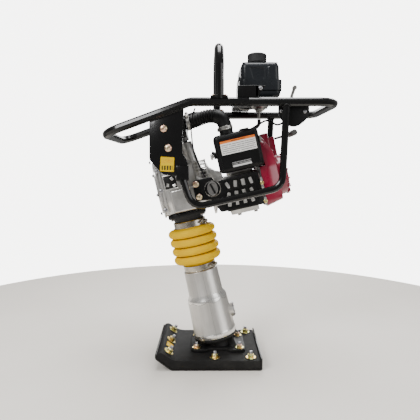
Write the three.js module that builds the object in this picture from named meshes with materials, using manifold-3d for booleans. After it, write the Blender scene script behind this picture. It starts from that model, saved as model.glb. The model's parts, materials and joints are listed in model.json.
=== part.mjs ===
// Vibratory rammer: a petrol engine drives a crank inside an inclined leg, and the leg's spring-loaded ram
// throws a flat shoe at the ground. Millimetres, +Z up. The origin is on the flat sole, in the middle of the
// shoe; the machine travels towards -X and its operator stands at +X. The leg leans, so everything on it is
// drawn upright in a nested group whose own Z is the leg's axis.

import * as THREE from 'three';
import { mergeVertices } from 'three/addons/utils/BufferGeometryUtils.js';
import Module from 'manifold-3d';

const wasm = await Module();
wasm.setup();

// ---------------------------------------------------------------- driving dimensions

const GAP = 0.3; // between faces that touch
const ROUND = 18; // sides of a round part

// leg
const LEAN = THREE.MathUtils.degToRad(12.8);
const LEG_FOOT_X = 40.3; // where the leg's axis meets the ground

// shoe
const SHOE_LENGTH = 345;
const SHOE_HALF_WIDTH = 142.5;
const SOLE_PLATE = 5;
const BOARD = 27;
const TOE_RUN = 52;
const TOE_RISE = 38;
const TOE_LIP = 15;
const HEEL_LIP = 7;
const SHOE_TOP = SOLE_PLATE + GAP + BOARD;

// foot bracket
const FOOT_BASE = 10;
const FOOT_FRONT = -60;
const FOOT_REAR = 123;
const FOOT_HALF_WIDTH = 76;
const FOOT_LUG_R = 19;
const FOOT_FLANGE_LIP = 1; // the ram's flange stands proud of the bracket's by this
const FOOT_FLANGE_TOP = 77.5;
const FOOT_FLANGE = 10;
const FOOT_CORE_R = 50;
const RIB = 8;

// ram cylinder
const RAM_FLANGE = 17;
const RAM_NECK_WALL = 4.9;
const RAM_NARROW_STEP = 7.5; // each part of the ram's outside is this much thicker than the one above
const RAM_WIDE_STEP = 13;
const RAM_FLANGE_STEP = 3.5;
const RAM_SHOULDER = 206;
const RAM_SHOULDER_TOP = 224;
const RAM_NARROW_TOP = 309;
const RAM_TOP = 338;
const RAM_FLOOR = 100;
const GUIDE_R = 45.7;
const GUIDE_WALL = 5.5;
const GUIDE_FOOT = 232;
const SLIDING = 0.4; // clearance of a sliding fit
const RAM_NECK_R = GUIDE_R + SLIDING + RAM_NECK_WALL;
const RAM_NARROW_R = RAM_NECK_R + RAM_NARROW_STEP;
const RAM_WIDE_R = RAM_NARROW_R + RAM_WIDE_STEP;
const RAM_FLANGE_R = RAM_WIDE_R + RAM_FLANGE_STEP;
const FOOT_FLANGE_R = RAM_FLANGE_R - FOOT_FLANGE_LIP;
const GLASS_Z = 147;
const GLASS_R = 26;
const GLASS_BOSS = 8; // how far the boss stands out of the ram
const GLASS_RIM = 7;

// bellows
const CUFF_WALL = 3.5;
const CUFF_R = RAM_NECK_R + CUFF_WALL;
const BELLOWS_WAIST_R = CUFF_R + 7.5;
const BELLOWS_R = BELLOWS_WAIST_R + 19;
const BELLOWS_WALL = 3.5;
const BELLOWS_FIRST = 355;
const BELLOWS_PITCH = 30.2;
const BELLOWS_ROLLS = 4;
const UPPER_CUFF_Z = 473;
const LOWER_CUFF_Z = 322;
const CUFF_LENGTH = 22;
const BAND = 1.4;
const BAND_WIDTH = 13;

// crank drive
const MODULE = 2.5;
const GEAR_TEETH = 45;
const PINION_TEETH = 13;
const GEAR_FACE = 18;
const PINION_SHAFT_R = 9;
const GEAR_PLANE = 20;
const ENGINE_AXIS_Z = 567;
const CRANK_Z = ENGINE_AXIS_Z + (MODULE * (GEAR_TEETH + PINION_TEETH)) / 2;
const THROW = 24;
const ROD_LENGTH = 110;
const ROD_HALF = 8;
const PIN_R = 9;
const ROD_BIG_R = 19;
const ROD_SMALL_R = 12;
const FORK_GAP = 2;
const FORK_ARM = 6;
const PISTON_ROD_R = 13;
const SLEEVE_R = GUIDE_R - GUIDE_WALL - SLIDING - 1;
const SLEEVE_WALL = 3;
const SLEEVE_TOP = 334;
const SPRING_WIRE_R = 4;
const SPRING_R = SLEEVE_R - SLEEVE_WALL - SPRING_WIRE_R - 1.5;
const PISTON_LOW = 204;
const PISTON = 16;

// gear case
const CASE_FLOOR = 516;
const CASE_TOP = 712;
const CASE_HALF_WIDTH = 74;
const CASE_FRONT = -58;
const CASE_REAR = 56;
const CASE_WALL = 8;
const COVER = 19;
const GUIDE_FLANGE = 22;
const HEAD_TOP = 812;
const HEAD_FRONT = -44;
const HEAD_REAR = 34;
const HEAD_HALF_WIDTH = 108;
const MOUNT_Z = [726, 786];
const MOUNT_R = 22;

// clutch
const DRUM_R = 50;
const DRUM_WALL = 6;
const DRUM_FRONT = 64;
const DRUM_LENGTH = 28;
const BELL_R = 103;
const BELL_REAR = 143;
const BELL_LOW = 487;

// engine
const BLOCK_FRONT = 145;
const BLOCK_REAR = 258;
const BLOCK_LOW = 493;
const BLOCK_TOP = 602;
const BLOCK_HALF_WIDTH = 96;
const SUMP = 17;
const HEAD_OF_BARREL = 700;
const BARREL_HALF = 52;
const FAN_FRONT = 262;
const FAN_REAR = 318;
const FAN_HALF_WIDTH = 116;
const FAN_LOW = 479;
const FAN_HIGH = 714;
const FAN_SLOPE_FRONT = 290; // the cover's top slopes down from here to its rear face
const FAN_SLOPE_FOOT = 650;
const FLYWHEEL_R = 84;
const RECOIL_R = 69;
const RECOIL_REAR = 356;
const ROPE_R = 4;
const ROPE_HOLE_R = ROPE_R + 0.6;
const ROPE_RISE = 121; // the rope's height above the engine's axis
const ROPE_TAB = 22;
const GRIP_R = 10;
const GRIP_HALF_LENGTH = 50;
const SHAFT_R = 12;
const SIDE_PANEL_Y = -120;
const SIDE_PANEL = 5;
const CELL_FRONT = 143;
const CELL_TOP = 588;
const CELL_WIDTH = 14;
const CELL_PITCH = 25;
const CELL_DROP = 33;
const CELL_HEIGHTS = [27, 27, 16]; // the lowest row of the panel's cells is short
const OIL_CAP_X = 102;
const OIL_CAP_Z = 575;
const OIL_CAP_R = 24;
const BOX_FRONT = 136;
const BOX_REAR = 279;
const BOX_LOW = 612;
const BOX_TOP = 733;
const BOX_NEAR = -130;
const BOX_DEPTH = 54;
const INTAKE_X = 183;
const HOSE_R = 22.5;

// frame
const TUBE_R = 13.5;
const FRAME_HALF_WIDTH = 165;
const RAIL_Z = 845;
const RAIL_KNEE_X = -56;
const LOOP_FRONT_X = -318;
const LOOP_FRONT_Z = 750;
const LOOP_REAR_X = 388;
const LOOP_BEND = 55;
const HOOP_X = 31.5;
const HOOP_TUBE_R = 14;
const HOOP_TOP = 1031;
const HOOP_BEND = 62;
const GUARD_R = 11;
const GUARD_BEND = 42;
const SIDE_PLATE = 6;

// fuel tank
const TANK_FRONT = 100;
const TANK_REAR = 229;
const TANK_UPPER_REAR = 227;
const TANK_LOW = 869;
const TANK_SEAM = 909;
const TANK_TOP = 984;
const TANK_HALF_WIDTH = 92;
const TANK_WALL = 5;
const TANK_CORNER = 16;
const FILLER_X = 161;
const FILLER_R = 23;
const CAP_R = 29.5;
const CAP_LOW = 990;
const CAP_TOP = 1027;
const TRAY_FRONT = 86;
const TRAY_REAR = 206;
const TRAY_HALF_WIDTH = 128;
const STRAP_REAR = 148;
const SHEET = 5;

// ---------------------------------------------------------------- colours and finishes

const FINISH = {
  blackPaint: [0x111113, 0.3, 0.2],
  blackCast: [0x16171a, 0.5, 0.3],
  board: [0x24262a, 0.6, 0],
  castGrey: [0xa9aaa8, 0.5, 0.7],
  aluminium: [0xc4c6c7, 0.35, 0.9],
  steel: [0x8f9296, 0.35, 1],
  yellow: [0xf2b705, 0.45, 0],
  red: [0xa81230, 0.3, 0],
  blackPlastic: [0x17181a, 0.5, 0],
  rubber: [0x1a1a1a, 0.8, 0],
  greyPlastic: [0x6d6f70, 0.5, 0],
};

// ---------------------------------------------------------------- helpers

function solid(geometry) {
  const g = geometry.clone();
  g.deleteAttribute('normal');
  g.deleteAttribute('uv');
  const merged = mergeVertices(g, 1e-4);
  return new wasm.Manifold(
    new wasm.Mesh({
      numProp: 3,
      vertProperties: new Float32Array(merged.attributes.position.array),
      triVerts: new Uint32Array(merged.index.array),
    }),
  );
}

function geometryOf(manifold) {
  const mesh = manifold.getMesh();
  const g = new THREE.BufferGeometry();
  const n = mesh.numProp;
  const count = mesh.vertProperties.length / n;
  const position = new Float32Array(count * 3);
  for (let i = 0; i < count; i++) {
    position.set(mesh.vertProperties.subarray(i * n, i * n + 3), i * 3);
  }
  g.setAttribute('position', new THREE.BufferAttribute(position, 3));
  g.setIndex(new THREE.BufferAttribute(new Uint32Array(mesh.triVerts), 1));
  return g;
}

const join = (first, ...rest) => geometryOf(rest.reduce((s, g) => s.add(solid(g)), solid(first)));
const cut = (first, ...rest) => geometryOf(rest.reduce((s, g) => s.subtract(solid(g)), solid(first)));

function box(x, y, z) {
  const g = new THREE.BoxGeometry(x[1] - x[0], y[1] - y[0], z[1] - z[0]);
  return g.translate((x[0] + x[1]) / 2, (y[0] + y[1]) / 2, (z[0] + z[1]) / 2);
}

// the stretch of Y on one side of the middle plane, from near to far away from it
const onSide = (side, near, far) => (side > 0 ? [near, far] : [-far, -near]);

// a round bar between two points
function bar(from, to, radius, sides = ROUND) {
  const a = new THREE.Vector3(...from);
  const b = new THREE.Vector3(...to);
  const direction = b.clone().sub(a);
  const g = new THREE.CylinderGeometry(radius, radius, direction.length(), sides);
  const turn = new THREE.Quaternion().setFromUnitVectors(
    new THREE.Vector3(0, 1, 0),
    direction.clone().normalize(),
  );
  return g.applyQuaternion(turn).translate(...a.add(b).multiplyScalar(0.5).toArray());
}

// a profile of [radius, height] points turned about Z, from the axis round to the axis, or closed on itself
function turned(profile, sides = ROUND) {
  const points = profile.map(([r, z]) => new THREE.Vector2(r, z));
  return new THREE.LatheGeometry(points, sides).rotateX(Math.PI / 2);
}

const ring = (inner, outer, low, high, sides = ROUND) =>
  turned([[inner, low], [outer, low], [outer, high], [inner, high], [inner, low]], sides);

// the same profiles turned about an axis along +X, at height z
const alongX = (geometry, z, y = 0) => geometry.rotateY(Math.PI / 2).translate(0, y, z);

// an outline of [x, y, corner setback] points; a corner takes less than half of the shorter side beside it
function outline(points) {
  const shape = new THREE.Shape();
  const n = points.length;
  points.forEach(([x, y, setback = 0], i) => {
    const here = new THREE.Vector2(x, y);
    const last = new THREE.Vector2(...points[(i + n - 1) % n].slice(0, 2));
    const next = new THREE.Vector2(...points[(i + 1) % n].slice(0, 2));
    const r = Math.min(setback, 0.48 * here.distanceTo(last), 0.48 * here.distanceTo(next));
    const enter = here.clone().add(last.sub(here).setLength(r));
    const leave = here.clone().add(next.sub(here).setLength(r));
    if (i === 0) shape.moveTo(enter.x, enter.y);
    else shape.lineTo(enter.x, enter.y);
    if (r > 0) shape.quadraticCurveTo(here.x, here.y, leave.x, leave.y);
  });
  shape.closePath();
  return shape;
}

const extruded = (shape, depth, segments = 4) =>
  new THREE.ExtrudeGeometry(shape, { depth, bevelEnabled: false, curveSegments: segments });

// an outline in the XZ plane, from y[0] to y[1]
const sideways = (shape, y, segments) =>
  extruded(shape, y[1] - y[0], segments).rotateX(Math.PI / 2).translate(0, y[1], 0);

// an outline in the YZ plane, from x[0] to x[1]
const lengthways = (shape, x, segments) =>
  extruded(shape, x[1] - x[0], segments)
    .applyMatrix4(new THREE.Matrix4().set(0, 0, 1, 0, 1, 0, 0, 0, 0, 1, 0, 0, 0, 0, 0, 1))
    .translate(x[0], 0, 0);

// an outline in the XY plane, from z[0] to z[1]
const upwards = (shape, z, segments) => extruded(shape, z[1] - z[0], segments).translate(0, 0, z[0]);

const roundedBox = (x, y, z, r) =>
  upwards(outline([[x[0], y[0], r], [x[1], y[0], r], [x[1], y[1], r], [x[0], y[1], r]]), z, 3);

// A path whose stations are given one by one, so that straight runs take one step and bends take several.
class Stations extends THREE.Curve {
  constructor(points) {
    super();
    this.points = points.map((p) => new THREE.Vector3(...p));
  }
  getPoint(t) {
    return this.points[Math.round(t * (this.points.length - 1))].clone();
  }
  getPointAt(t) {
    return this.getPoint(t);
  }
  getTangent(t) {
    const i = Math.round(t * (this.points.length - 1));
    const into = this.points[i].clone().sub(this.points[Math.max(i - 1, 0)]).normalize();
    const out = this.points[Math.min(i + 1, this.points.length - 1)].clone().sub(this.points[i]).normalize();
    return into.add(out).normalize();
  }
  getTangentAt(t) {
    return this.getTangent(t);
  }
}

const circle = (radius, sides) => {
  const shape = new THREE.Shape();
  for (let i = 0; i < sides; i++) {
    const a = ((i + 0.5) / sides) * 2 * Math.PI;
    if (i === 0) shape.moveTo(radius * Math.cos(a), radius * Math.sin(a));
    else shape.lineTo(radius * Math.cos(a), radius * Math.sin(a));
  }
  shape.closePath();
  return shape;
};

const swept = (stations, radius, sides) =>
  new THREE.ExtrudeGeometry(circle(radius, sides), {
    steps: stations.length - 1,
    bevelEnabled: false,
    extrudePath: new Stations(stations),
  });

// a tube through corner points, each corner rounded by a bend
function bent(corners, bend, radius, sides = 10, steps = 4) {
  const stations = [corners[0]];
  for (let i = 1; i < corners.length - 1; i++) {
    const here = new THREE.Vector3(...corners[i]);
    const back = new THREE.Vector3(...corners[i - 1]).sub(here).normalize();
    const on = new THREE.Vector3(...corners[i + 1]).sub(here).normalize();
    const half = back.angleTo(on) / 2;
    const setback = bend / Math.tan(half);
    const centre = here.clone().add(back.clone().add(on).setLength(bend / Math.sin(half)));
    const start = here.clone().addScaledVector(back, setback).sub(centre);
    const end = here.clone().addScaledVector(on, setback).sub(centre);
    const axis = start.clone().cross(end).normalize();
    const sweep = start.angleTo(end);
    for (let k = 0; k <= steps; k++) {
      stations.push(start.clone().applyAxisAngle(axis, (sweep * k) / steps).add(centre).toArray());
    }
  }
  stations.push(corners[corners.length - 1]);
  return swept(stations, radius, sides);
}

// a cord or hose along a smooth curve through hand-chosen points
function cord(route, radius, sides, steps) {
  const curve = new THREE.CatmullRomCurve3(route.map((p) => new THREE.Vector3(...p)), false, 'centripetal');
  return swept(curve.getSpacedPoints(steps).map((p) => p.toArray()), radius, sides);
}

// a spur gear about an axis along +X, from x to x + face, with a tooth pointing to +Z
function gear(teeth, x, face, centreZ) {
  const pitch = (MODULE * teeth) / 2;
  const stations = [
    [pitch - 1.25 * MODULE, 1.0],
    [pitch + 0.95 * MODULE, 0.3],
  ];
  const shape = new THREE.Shape();
  for (let i = 0; i < teeth; i++) {
    const middle = Math.PI / 2 + (i * 2 * Math.PI) / teeth;
    const corners = [
      [stations[0], -1],
      [stations[1], -1],
      [stations[1], 1],
      [stations[0], 1],
    ];
    corners.forEach(([[r, half], side], k) => {
      const a = middle + (side * half * MODULE) / r;
      const p = [r * Math.cos(a), r * Math.sin(a)];
      if (i === 0 && k === 0) shape.moveTo(...p);
      else shape.lineTo(...p);
    });
  }
  shape.closePath();
  return lengthways(shape, [x, x + face], 6).translate(0, 0, centreZ);
}

const machine = new THREE.Group();
const leg = new THREE.Group();
leg.position.x = LEG_FOOT_X;
leg.rotation.y = -LEAN;
machine.add(leg);
leg.updateMatrixWorld(true);

// a point of the leg's own frame in the machine's frame
const outOfLeg = (x, y, z) => leg.localToWorld(new THREE.Vector3(x, y, z)).toArray();
const turnedOutOfLeg = (geometry) => geometry.applyMatrix4(leg.matrixWorld);

function add(group, name, geometry, finish) {
  const [color, roughness, metalness] = FINISH[finish];
  const mesh = new THREE.Mesh(geometry, new THREE.MeshStandardMaterial({ color, roughness, metalness }));
  mesh.name = name;
  group.add(mesh);
}

// ---------------------------------------------------------------- shoe

// The toe turns up at a bend and ends in a short upright nose.
const toeX = -SHOE_LENGTH / 2 + TOE_RUN;
const noseX = -SHOE_LENGTH / 2;
const heelX = SHOE_LENGTH / 2;
const toeAngle = Math.atan2(TOE_RISE, TOE_RUN);

function shoePlate() {
  const t = SOLE_PLATE;
  const bendIn = t * Math.tan(toeAngle / 2);
  const noseIn = t * Math.tan((Math.PI / 2 - toeAngle) / 2);
  const noseTop = TOE_RISE + TOE_LIP;
  const shape = outline([
    [toeX, 0, 8],
    [heelX, 0, 6],
    [heelX, SHOE_TOP + HEEL_LIP],
    [heelX - t, SHOE_TOP + HEEL_LIP],
    [heelX - t, t, 3],
    [toeX + bendIn, t, 6],
    [noseX + t, TOE_RISE + noseIn],
    [noseX + t, noseTop],
    [noseX, noseTop],
    [noseX, TOE_RISE, 5],
  ]);
  return sideways(shape, [-SHOE_HALF_WIDTH, SHOE_HALF_WIDTH], 3);
}

function shoeBoard() {
  const low = SOLE_PLATE + GAP;
  const front = noseX + SOLE_PLATE + GAP;
  const bendIn = low * Math.tan(toeAngle / 2);
  const noseLow = TOE_RISE + low * Math.tan((Math.PI / 2 - toeAngle) / 2);
  const shape = outline([
    [toeX + bendIn, low, 6],
    [heelX - SOLE_PLATE - GAP, low, 4],
    [heelX - SOLE_PLATE - GAP, SHOE_TOP],
    [toeX + 8, SHOE_TOP, 24],
    [noseX + 21, SHOE_TOP + 28, 16],
    [front, SHOE_TOP + 24, 6],
    [front, noseLow, 1],
  ]);
  return sideways(shape, [-SHOE_HALF_WIDTH, SHOE_HALF_WIDTH], 5);
}

// ---------------------------------------------------------------- foot bracket

const lugs = [
  [FOOT_FRONT + FOOT_LUG_R, -FOOT_HALF_WIDTH + FOOT_LUG_R],
  [FOOT_FRONT + FOOT_LUG_R, FOOT_HALF_WIDTH - FOOT_LUG_R],
  [FOOT_REAR - FOOT_LUG_R, -FOOT_HALF_WIDTH + FOOT_LUG_R],
  [FOOT_REAR - FOOT_LUG_R, FOOT_HALF_WIDTH - FOOT_LUG_R],
];
const footZ = SHOE_TOP + GAP;

// a casting: a base with four lugs, a core, ribs to the lugs, and a leaning round flange
function footBracket() {
  const base = outline([
    [FOOT_FRONT, -FOOT_HALF_WIDTH, FOOT_LUG_R],
    [lugs[0][0] + 34, -FOOT_HALF_WIDTH, 9],
    [lugs[0][0] + 42, -FOOT_HALF_WIDTH + 12, 6],
    [lugs[2][0] - 42, -FOOT_HALF_WIDTH + 12, 6],
    [lugs[2][0] - 34, -FOOT_HALF_WIDTH, 9],
    [FOOT_REAR, -FOOT_HALF_WIDTH, FOOT_LUG_R],
    [FOOT_REAR, FOOT_HALF_WIDTH, FOOT_LUG_R],
    [lugs[2][0] - 34, FOOT_HALF_WIDTH, 9],
    [lugs[2][0] - 42, FOOT_HALF_WIDTH - 12, 6],
    [lugs[0][0] + 42, FOOT_HALF_WIDTH - 12, 6],
    [lugs[0][0] + 34, FOOT_HALF_WIDTH, 9],
    [FOOT_FRONT, FOOT_HALF_WIDTH, FOOT_LUG_R],
  ]);
  const flangeLow = FOOT_FLANGE_TOP - FOOT_FLANGE;
  const core = turnedOutOfLeg(ring(0, FOOT_CORE_R, -40, flangeLow + 1));
  const flange = turnedOutOfLeg(ring(0, FOOT_FLANGE_R, flangeLow, FOOT_FLANGE_TOP));
  const middle = outOfLeg(0, 0, flangeLow);
  const webs = lugs.map(([x, y]) => {
    const dx = x - middle[0];
    const dy = y;
    const reach = Math.hypot(dx, dy);
    const web = sideways(
      outline([[0, -30], [reach - 12, -30], [reach - 12, FOOT_BASE], [FOOT_FLANGE_R - 14, 60], [0, 60]]),
      [-RIB / 2, RIB / 2],
    );
    return web.rotateZ(Math.atan2(dy, dx)).translate(middle[0], 0, footZ);
  });
  const underFlange = turnedOutOfLeg(ring(0, FOOT_FLANGE_R + 20, -80, flangeLow + 1));
  const inside = solid(join(core, ...webs)).intersect(solid(underFlange));
  const aboveShoe = solid(box([-200, 200], [-200, 200], [footZ, footZ + 200]));
  return geometryOf(
    inside.add(solid(flange)).intersect(aboveShoe).add(solid(upwards(base, [footZ, footZ + FOOT_BASE], 3))),
  );
}

// ---------------------------------------------------------------- ram

function ramCylinder() {
  const foot = FOOT_FLANGE_TOP + GAP;
  const bore = GUIDE_R + SLIDING;
  const body = turned([
    [0, foot],
    [RAM_FLANGE_R, foot],
    [RAM_FLANGE_R, foot + RAM_FLANGE - 3],
    [RAM_WIDE_R + 1.5, foot + RAM_FLANGE],
    [RAM_WIDE_R - 2.5, RAM_SHOULDER],
    [RAM_WIDE_R - 4, RAM_SHOULDER + 6],
    [RAM_NARROW_R + 1.5, RAM_SHOULDER_TOP],
    [RAM_NARROW_R - 0.5, RAM_NARROW_TOP],
    [RAM_NECK_R, RAM_NARROW_TOP + 2],
    [RAM_NECK_R, RAM_TOP],
    [bore, RAM_TOP],
    [bore, RAM_FLOOR],
    [0, RAM_FLOOR],
  ]);
  const boss = bar([GUIDE_R + 6, 0, GLASS_Z], [RAM_WIDE_R + GLASS_BOSS, 0, GLASS_Z], GLASS_R);
  const seated = [RAM_WIDE_R - 3, RAM_WIDE_R + GLASS_BOSS + 1];
  const seat = bar(...seated.map((x) => [x, 0, GLASS_Z]), GLASS_R - GLASS_RIM);
  return cut(join(body, boss), seat);
}

function sightGlass() {
  const from = [RAM_WIDE_R - 3 + GAP, 0, GLASS_Z];
  const to = [RAM_WIDE_R + GLASS_BOSS - 1, 0, GLASS_Z];
  return bar(from, to, GLASS_R - GLASS_RIM - GAP);
}

// a thin sleeve round the springs, closed by a cap that the piston rod passes
function springSleeve() {
  const foot = RAM_FLOOR + GAP;
  const inner = SLEEVE_R - SLEEVE_WALL;
  return turned([
    [inner, foot],
    [SLEEVE_R, foot],
    [SLEEVE_R, SLEEVE_TOP],
    [PISTON_ROD_R + SLIDING, SLEEVE_TOP],
    [PISTON_ROD_R + SLIDING, SLEEVE_TOP - 8],
    [inner, SLEEVE_TOP - 8],
    [inner, foot],
  ]);
}

function coilSpring(low, high, turns) {
  const stations = [];
  const perTurn = 8;
  for (let i = 0; i <= turns * perTurn; i++) {
    const a = (i / perTurn) * 2 * Math.PI;
    const z = low + SPRING_WIRE_R + ((high - low - 2 * SPRING_WIRE_R) * i) / (turns * perTurn);
    stations.push([SPRING_R * Math.cos(a), SPRING_R * Math.sin(a), z]);
  }
  return swept(stations, SPRING_WIRE_R, 6);
}

// con rod centres at rest, with the crank at the top of its turn
const pinZ = CRANK_Z + THROW;
const smallEndZ = pinZ - ROD_LENGTH;
const forkFloor = smallEndZ - 2 * THROW - ROD_SMALL_R - 4;

// piston, rod and a long fork that stands clear of the connecting rod on both sides
function pistonRod() {
  const pistonR = SLEEVE_R - SLEEVE_WALL - SLIDING;
  const rod = turned([
    [0, PISTON_LOW],
    [pistonR, PISTON_LOW],
    [pistonR, PISTON_LOW + PISTON],
    [PISTON_ROD_R, PISTON_LOW + PISTON],
    [PISTON_ROD_R, forkFloor - 12],
    [22, forkFloor - 8],
    [22, forkFloor],
    [0, forkFloor],
  ]);
  const near = ROD_HALF + FORK_GAP;
  const arms = [-near - FORK_ARM, near].map((x) => {
    const shape = outline([
      [-13, forkFloor - 2],
      [13, forkFloor - 2],
      [13, smallEndZ + 13, 12],
      [-13, smallEndZ + 13, 12],
    ]);
    const arm = lengthways(shape, [x, x + FORK_ARM]);
    return cut(arm, bar([x - 1, 0, smallEndZ], [x + FORK_ARM + 1, 0, smallEndZ], PIN_R, 16));
  });
  return join(rod, ...arms);
}

// ---------------------------------------------------------------- bellows

function bellowsProfile(shrink) {
  const points = [];
  for (let i = 0; i < BELLOWS_ROLLS; i++) {
    const z = BELLOWS_FIRST + i * BELLOWS_PITCH;
    const half = BELLOWS_PITCH / 2;
    points.push([BELLOWS_WAIST_R - shrink, z - half + 2]);
    points.push([BELLOWS_R - shrink, z - 7]);
    points.push([BELLOWS_R - shrink, z + 7]);
    points.push([BELLOWS_WAIST_R - shrink, z + half - 2]);
  }
  return points;
}

function bellows() {
  const inner = RAM_NECK_R + GAP;
  const cuff = CUFF_R - BAND;
  const low = LOWER_CUFF_Z - CUFF_LENGTH / 2;
  const high = UPPER_CUFF_Z + CUFF_LENGTH / 2;
  const outside = [
    [inner, low],
    [cuff, low],
    [cuff, LOWER_CUFF_Z + CUFF_LENGTH / 2 - 4],
    ...bellowsProfile(0),
    [cuff, UPPER_CUFF_Z - CUFF_LENGTH / 2 + 4],
    [cuff, high],
    [inner, high],
    [inner, UPPER_CUFF_Z - CUFF_LENGTH / 2 + 2],
  ];
  const inside = bellowsProfile(BELLOWS_WALL).reverse();
  return turned([...outside, ...inside, [inner, LOWER_CUFF_Z + CUFF_LENGTH / 2 - 2], [inner, low]]);
}

function bandClamp(z) {
  const r = CUFF_R - BAND + GAP;
  const band = ring(r, r + BAND, z - BAND_WIDTH / 2, z + BAND_WIDTH / 2);
  const ears = box([r, r + 16], [-7, 7], [z - BAND_WIDTH / 2, z + BAND_WIDTH / 2]);
  const screw = bar([r + 10, -20, z], [r + 10, 20, z], 3.5, 8);
  return join(band, ears, screw);
}

// ---------------------------------------------------------------- gear case

function caseOutline(inset) {
  const w = CASE_HALF_WIDTH - inset;
  const low = CASE_FLOOR + inset;
  const high = CASE_TOP - inset;
  return outline([
    [-w + 14, low, 8],
    [w - 14, low, 8],
    [w, low + 40, 20],
    [w, high - 40, 30],
    [w - 30, high, 20],
    [-w + 30, high, 20],
    [-w, high - 40, 30],
    [-w, low + 40, 20],
  ]);
}

const columnTop = [49, -52, 738];
const columnFoot = [66, -52, 620];

function gearCase() {
  const shell = lengthways(caseOutline(0), [CASE_FRONT, CASE_REAR]);
  const hollow = lengthways(caseOutline(CASE_WALL), [CASE_FRONT - 1, CASE_REAR - 12]);
  const head = box([HEAD_FRONT, HEAD_REAR], [-HEAD_HALF_WIDTH, HEAD_HALF_WIDTH], [CASE_TOP - 6, HEAD_TOP]);
  const pockets = [-1, 0, 1].map((i) => {
    const half = (HEAD_HALF_WIDTH - 20) / 3;
    const middle = i * (2 * half + 4);
    const across = [middle - half, middle + half];
    return box([HEAD_FRONT - 1, HEAD_REAR - 10], across, [CASE_TOP + 8, HEAD_TOP - 10]);
  });
  const column = bar(columnFoot, columnTop, 19);
  const throat = ring(0, GUIDE_R - GUIDE_WALL, CASE_FLOOR - 1, CASE_FLOOR + CASE_WALL + 1);
  const gearShaft = bar([CASE_REAR - 14, 0, CRANK_Z], [CASE_REAR + 1, 0, CRANK_Z], 15 + SLIDING);
  const pinionHole = [CASE_REAR - 14, CASE_REAR + 1].map((x) => [x, 0, ENGINE_AXIS_Z]);
  const pinionShaft = bar(...pinionHole, PINION_SHAFT_R + SLIDING);
  return cut(join(shell, head, column), hollow, ...pockets, throat, gearShaft, pinionShaft);
}

function caseCover() {
  const front = CASE_FRONT - GAP;
  const plate = lengthways(caseOutline(0), [front - 9, front]);
  const dome = lengthways(caseOutline(12), [front - COVER, front - 8]);
  return join(plate, dome);
}

// the tube that the ram slides on, with a square flange under the case
function guideCylinder() {
  const top = CASE_FLOOR - GAP;
  const inner = GUIDE_R - GUIDE_WALL;
  const half = 64;
  const corner = 26;
  const flange = roundedBox([-half, half], [-half, half], [top - GUIDE_FLANGE + 8, top], corner);
  const neck = ring(inner, 60, top - GUIDE_FLANGE, top - GUIDE_FLANGE + 9);
  const cuffSeat = ring(inner, RAM_NECK_R, UPPER_CUFF_Z - 13, top - GUIDE_FLANGE + 1);
  const tube = ring(inner, GUIDE_R, GUIDE_FOOT, top);
  const hole = ring(0, inner, top - GUIDE_FLANGE, top + 1);
  return cut(join(flange, neck, cuffSeat, tube), hole);
}

const shockMount = (side, z) =>
  bar(
    [-2, side * (HEAD_HALF_WIDTH + GAP), z],
    [-2, side * (FRAME_HALF_WIDTH - SIDE_PLATE - GAP), z],
    MOUNT_R,
    20,
  );

// ---------------------------------------------------------------- crank drive

function crankGear() {
  const wheel = gear(GEAR_TEETH, GEAR_PLANE, GEAR_FACE, CRANK_Z);
  const shaft = bar([GEAR_PLANE + 2, 0, CRANK_Z], [CASE_REAR - 2, 0, CRANK_Z], 15);
  const pin = bar([-ROD_HALF, 0, pinZ], [GEAR_PLANE + 2, 0, pinZ], PIN_R, 16);
  return join(wheel, shaft, pin);
}

function connectingRod() {
  const big = bar([-ROD_HALF, 0, pinZ], [ROD_HALF, 0, pinZ], ROD_BIG_R);
  const small = bar([-ROD_HALF, 0, smallEndZ], [ROD_HALF, 0, smallEndZ], ROD_SMALL_R, 20);
  const shank = lengthways(
    outline([[-8, smallEndZ], [8, smallEndZ], [12, pinZ], [-12, pinZ]]),
    [-ROD_HALF + 2, ROD_HALF - 2],
  );
  const bore = bar([-ROD_HALF - 1, 0, pinZ], [ROD_HALF + 1, 0, pinZ], PIN_R + GAP, 16);
  const wristBore = bar([-ROD_HALF - 1, 0, smallEndZ], [ROD_HALF + 1, 0, smallEndZ], PIN_R - 2, 16);
  return cut(join(big, small, shank), bore, wristBore);
}

function pinionShaft() {
  const wheel = gear(PINION_TEETH, GEAR_PLANE, GEAR_FACE, ENGINE_AXIS_Z);
  const shaft = bar([GEAR_PLANE, 0, ENGINE_AXIS_Z], [DRUM_FRONT + 2, 0, ENGINE_AXIS_Z], PINION_SHAFT_R);
  return join(wheel, shaft);
}

// an open drum, its floor bored for the pinion shaft
function clutchDrum() {
  const profile = [
    [PINION_SHAFT_R + GAP, DRUM_FRONT],
    [DRUM_R, DRUM_FRONT],
    [DRUM_R, DRUM_FRONT + DRUM_LENGTH],
    [DRUM_R - DRUM_WALL, DRUM_FRONT + DRUM_LENGTH],
    [DRUM_R - DRUM_WALL, DRUM_FRONT + DRUM_WALL],
    [PINION_SHAFT_R + GAP, DRUM_FRONT + DRUM_WALL],
    [PINION_SHAFT_R + GAP, DRUM_FRONT],
  ];
  return alongX(turned(profile), ENGINE_AXIS_Z);
}

// shoes carried by the engine's shaft, just clear of the drum
function clutchRotor() {
  const low = DRUM_FRONT + DRUM_WALL + 2;
  const high = DRUM_FRONT + DRUM_LENGTH;
  const body = alongX(ring(0, DRUM_R - DRUM_WALL - 2, low, high), ENGINE_AXIS_Z);
  const slots = [-1, 1].map((side) =>
    box([low - 1, high + 1], [side * 16 - 2, side * 16 + 2], [ENGINE_AXIS_Z - 60, ENGINE_AXIS_Z + 60]),
  );
  const hub = alongX(ring(0, 24, low, high), ENGINE_AXIS_Z);
  return join(cut(body, ...slots), hub);
}

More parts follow.
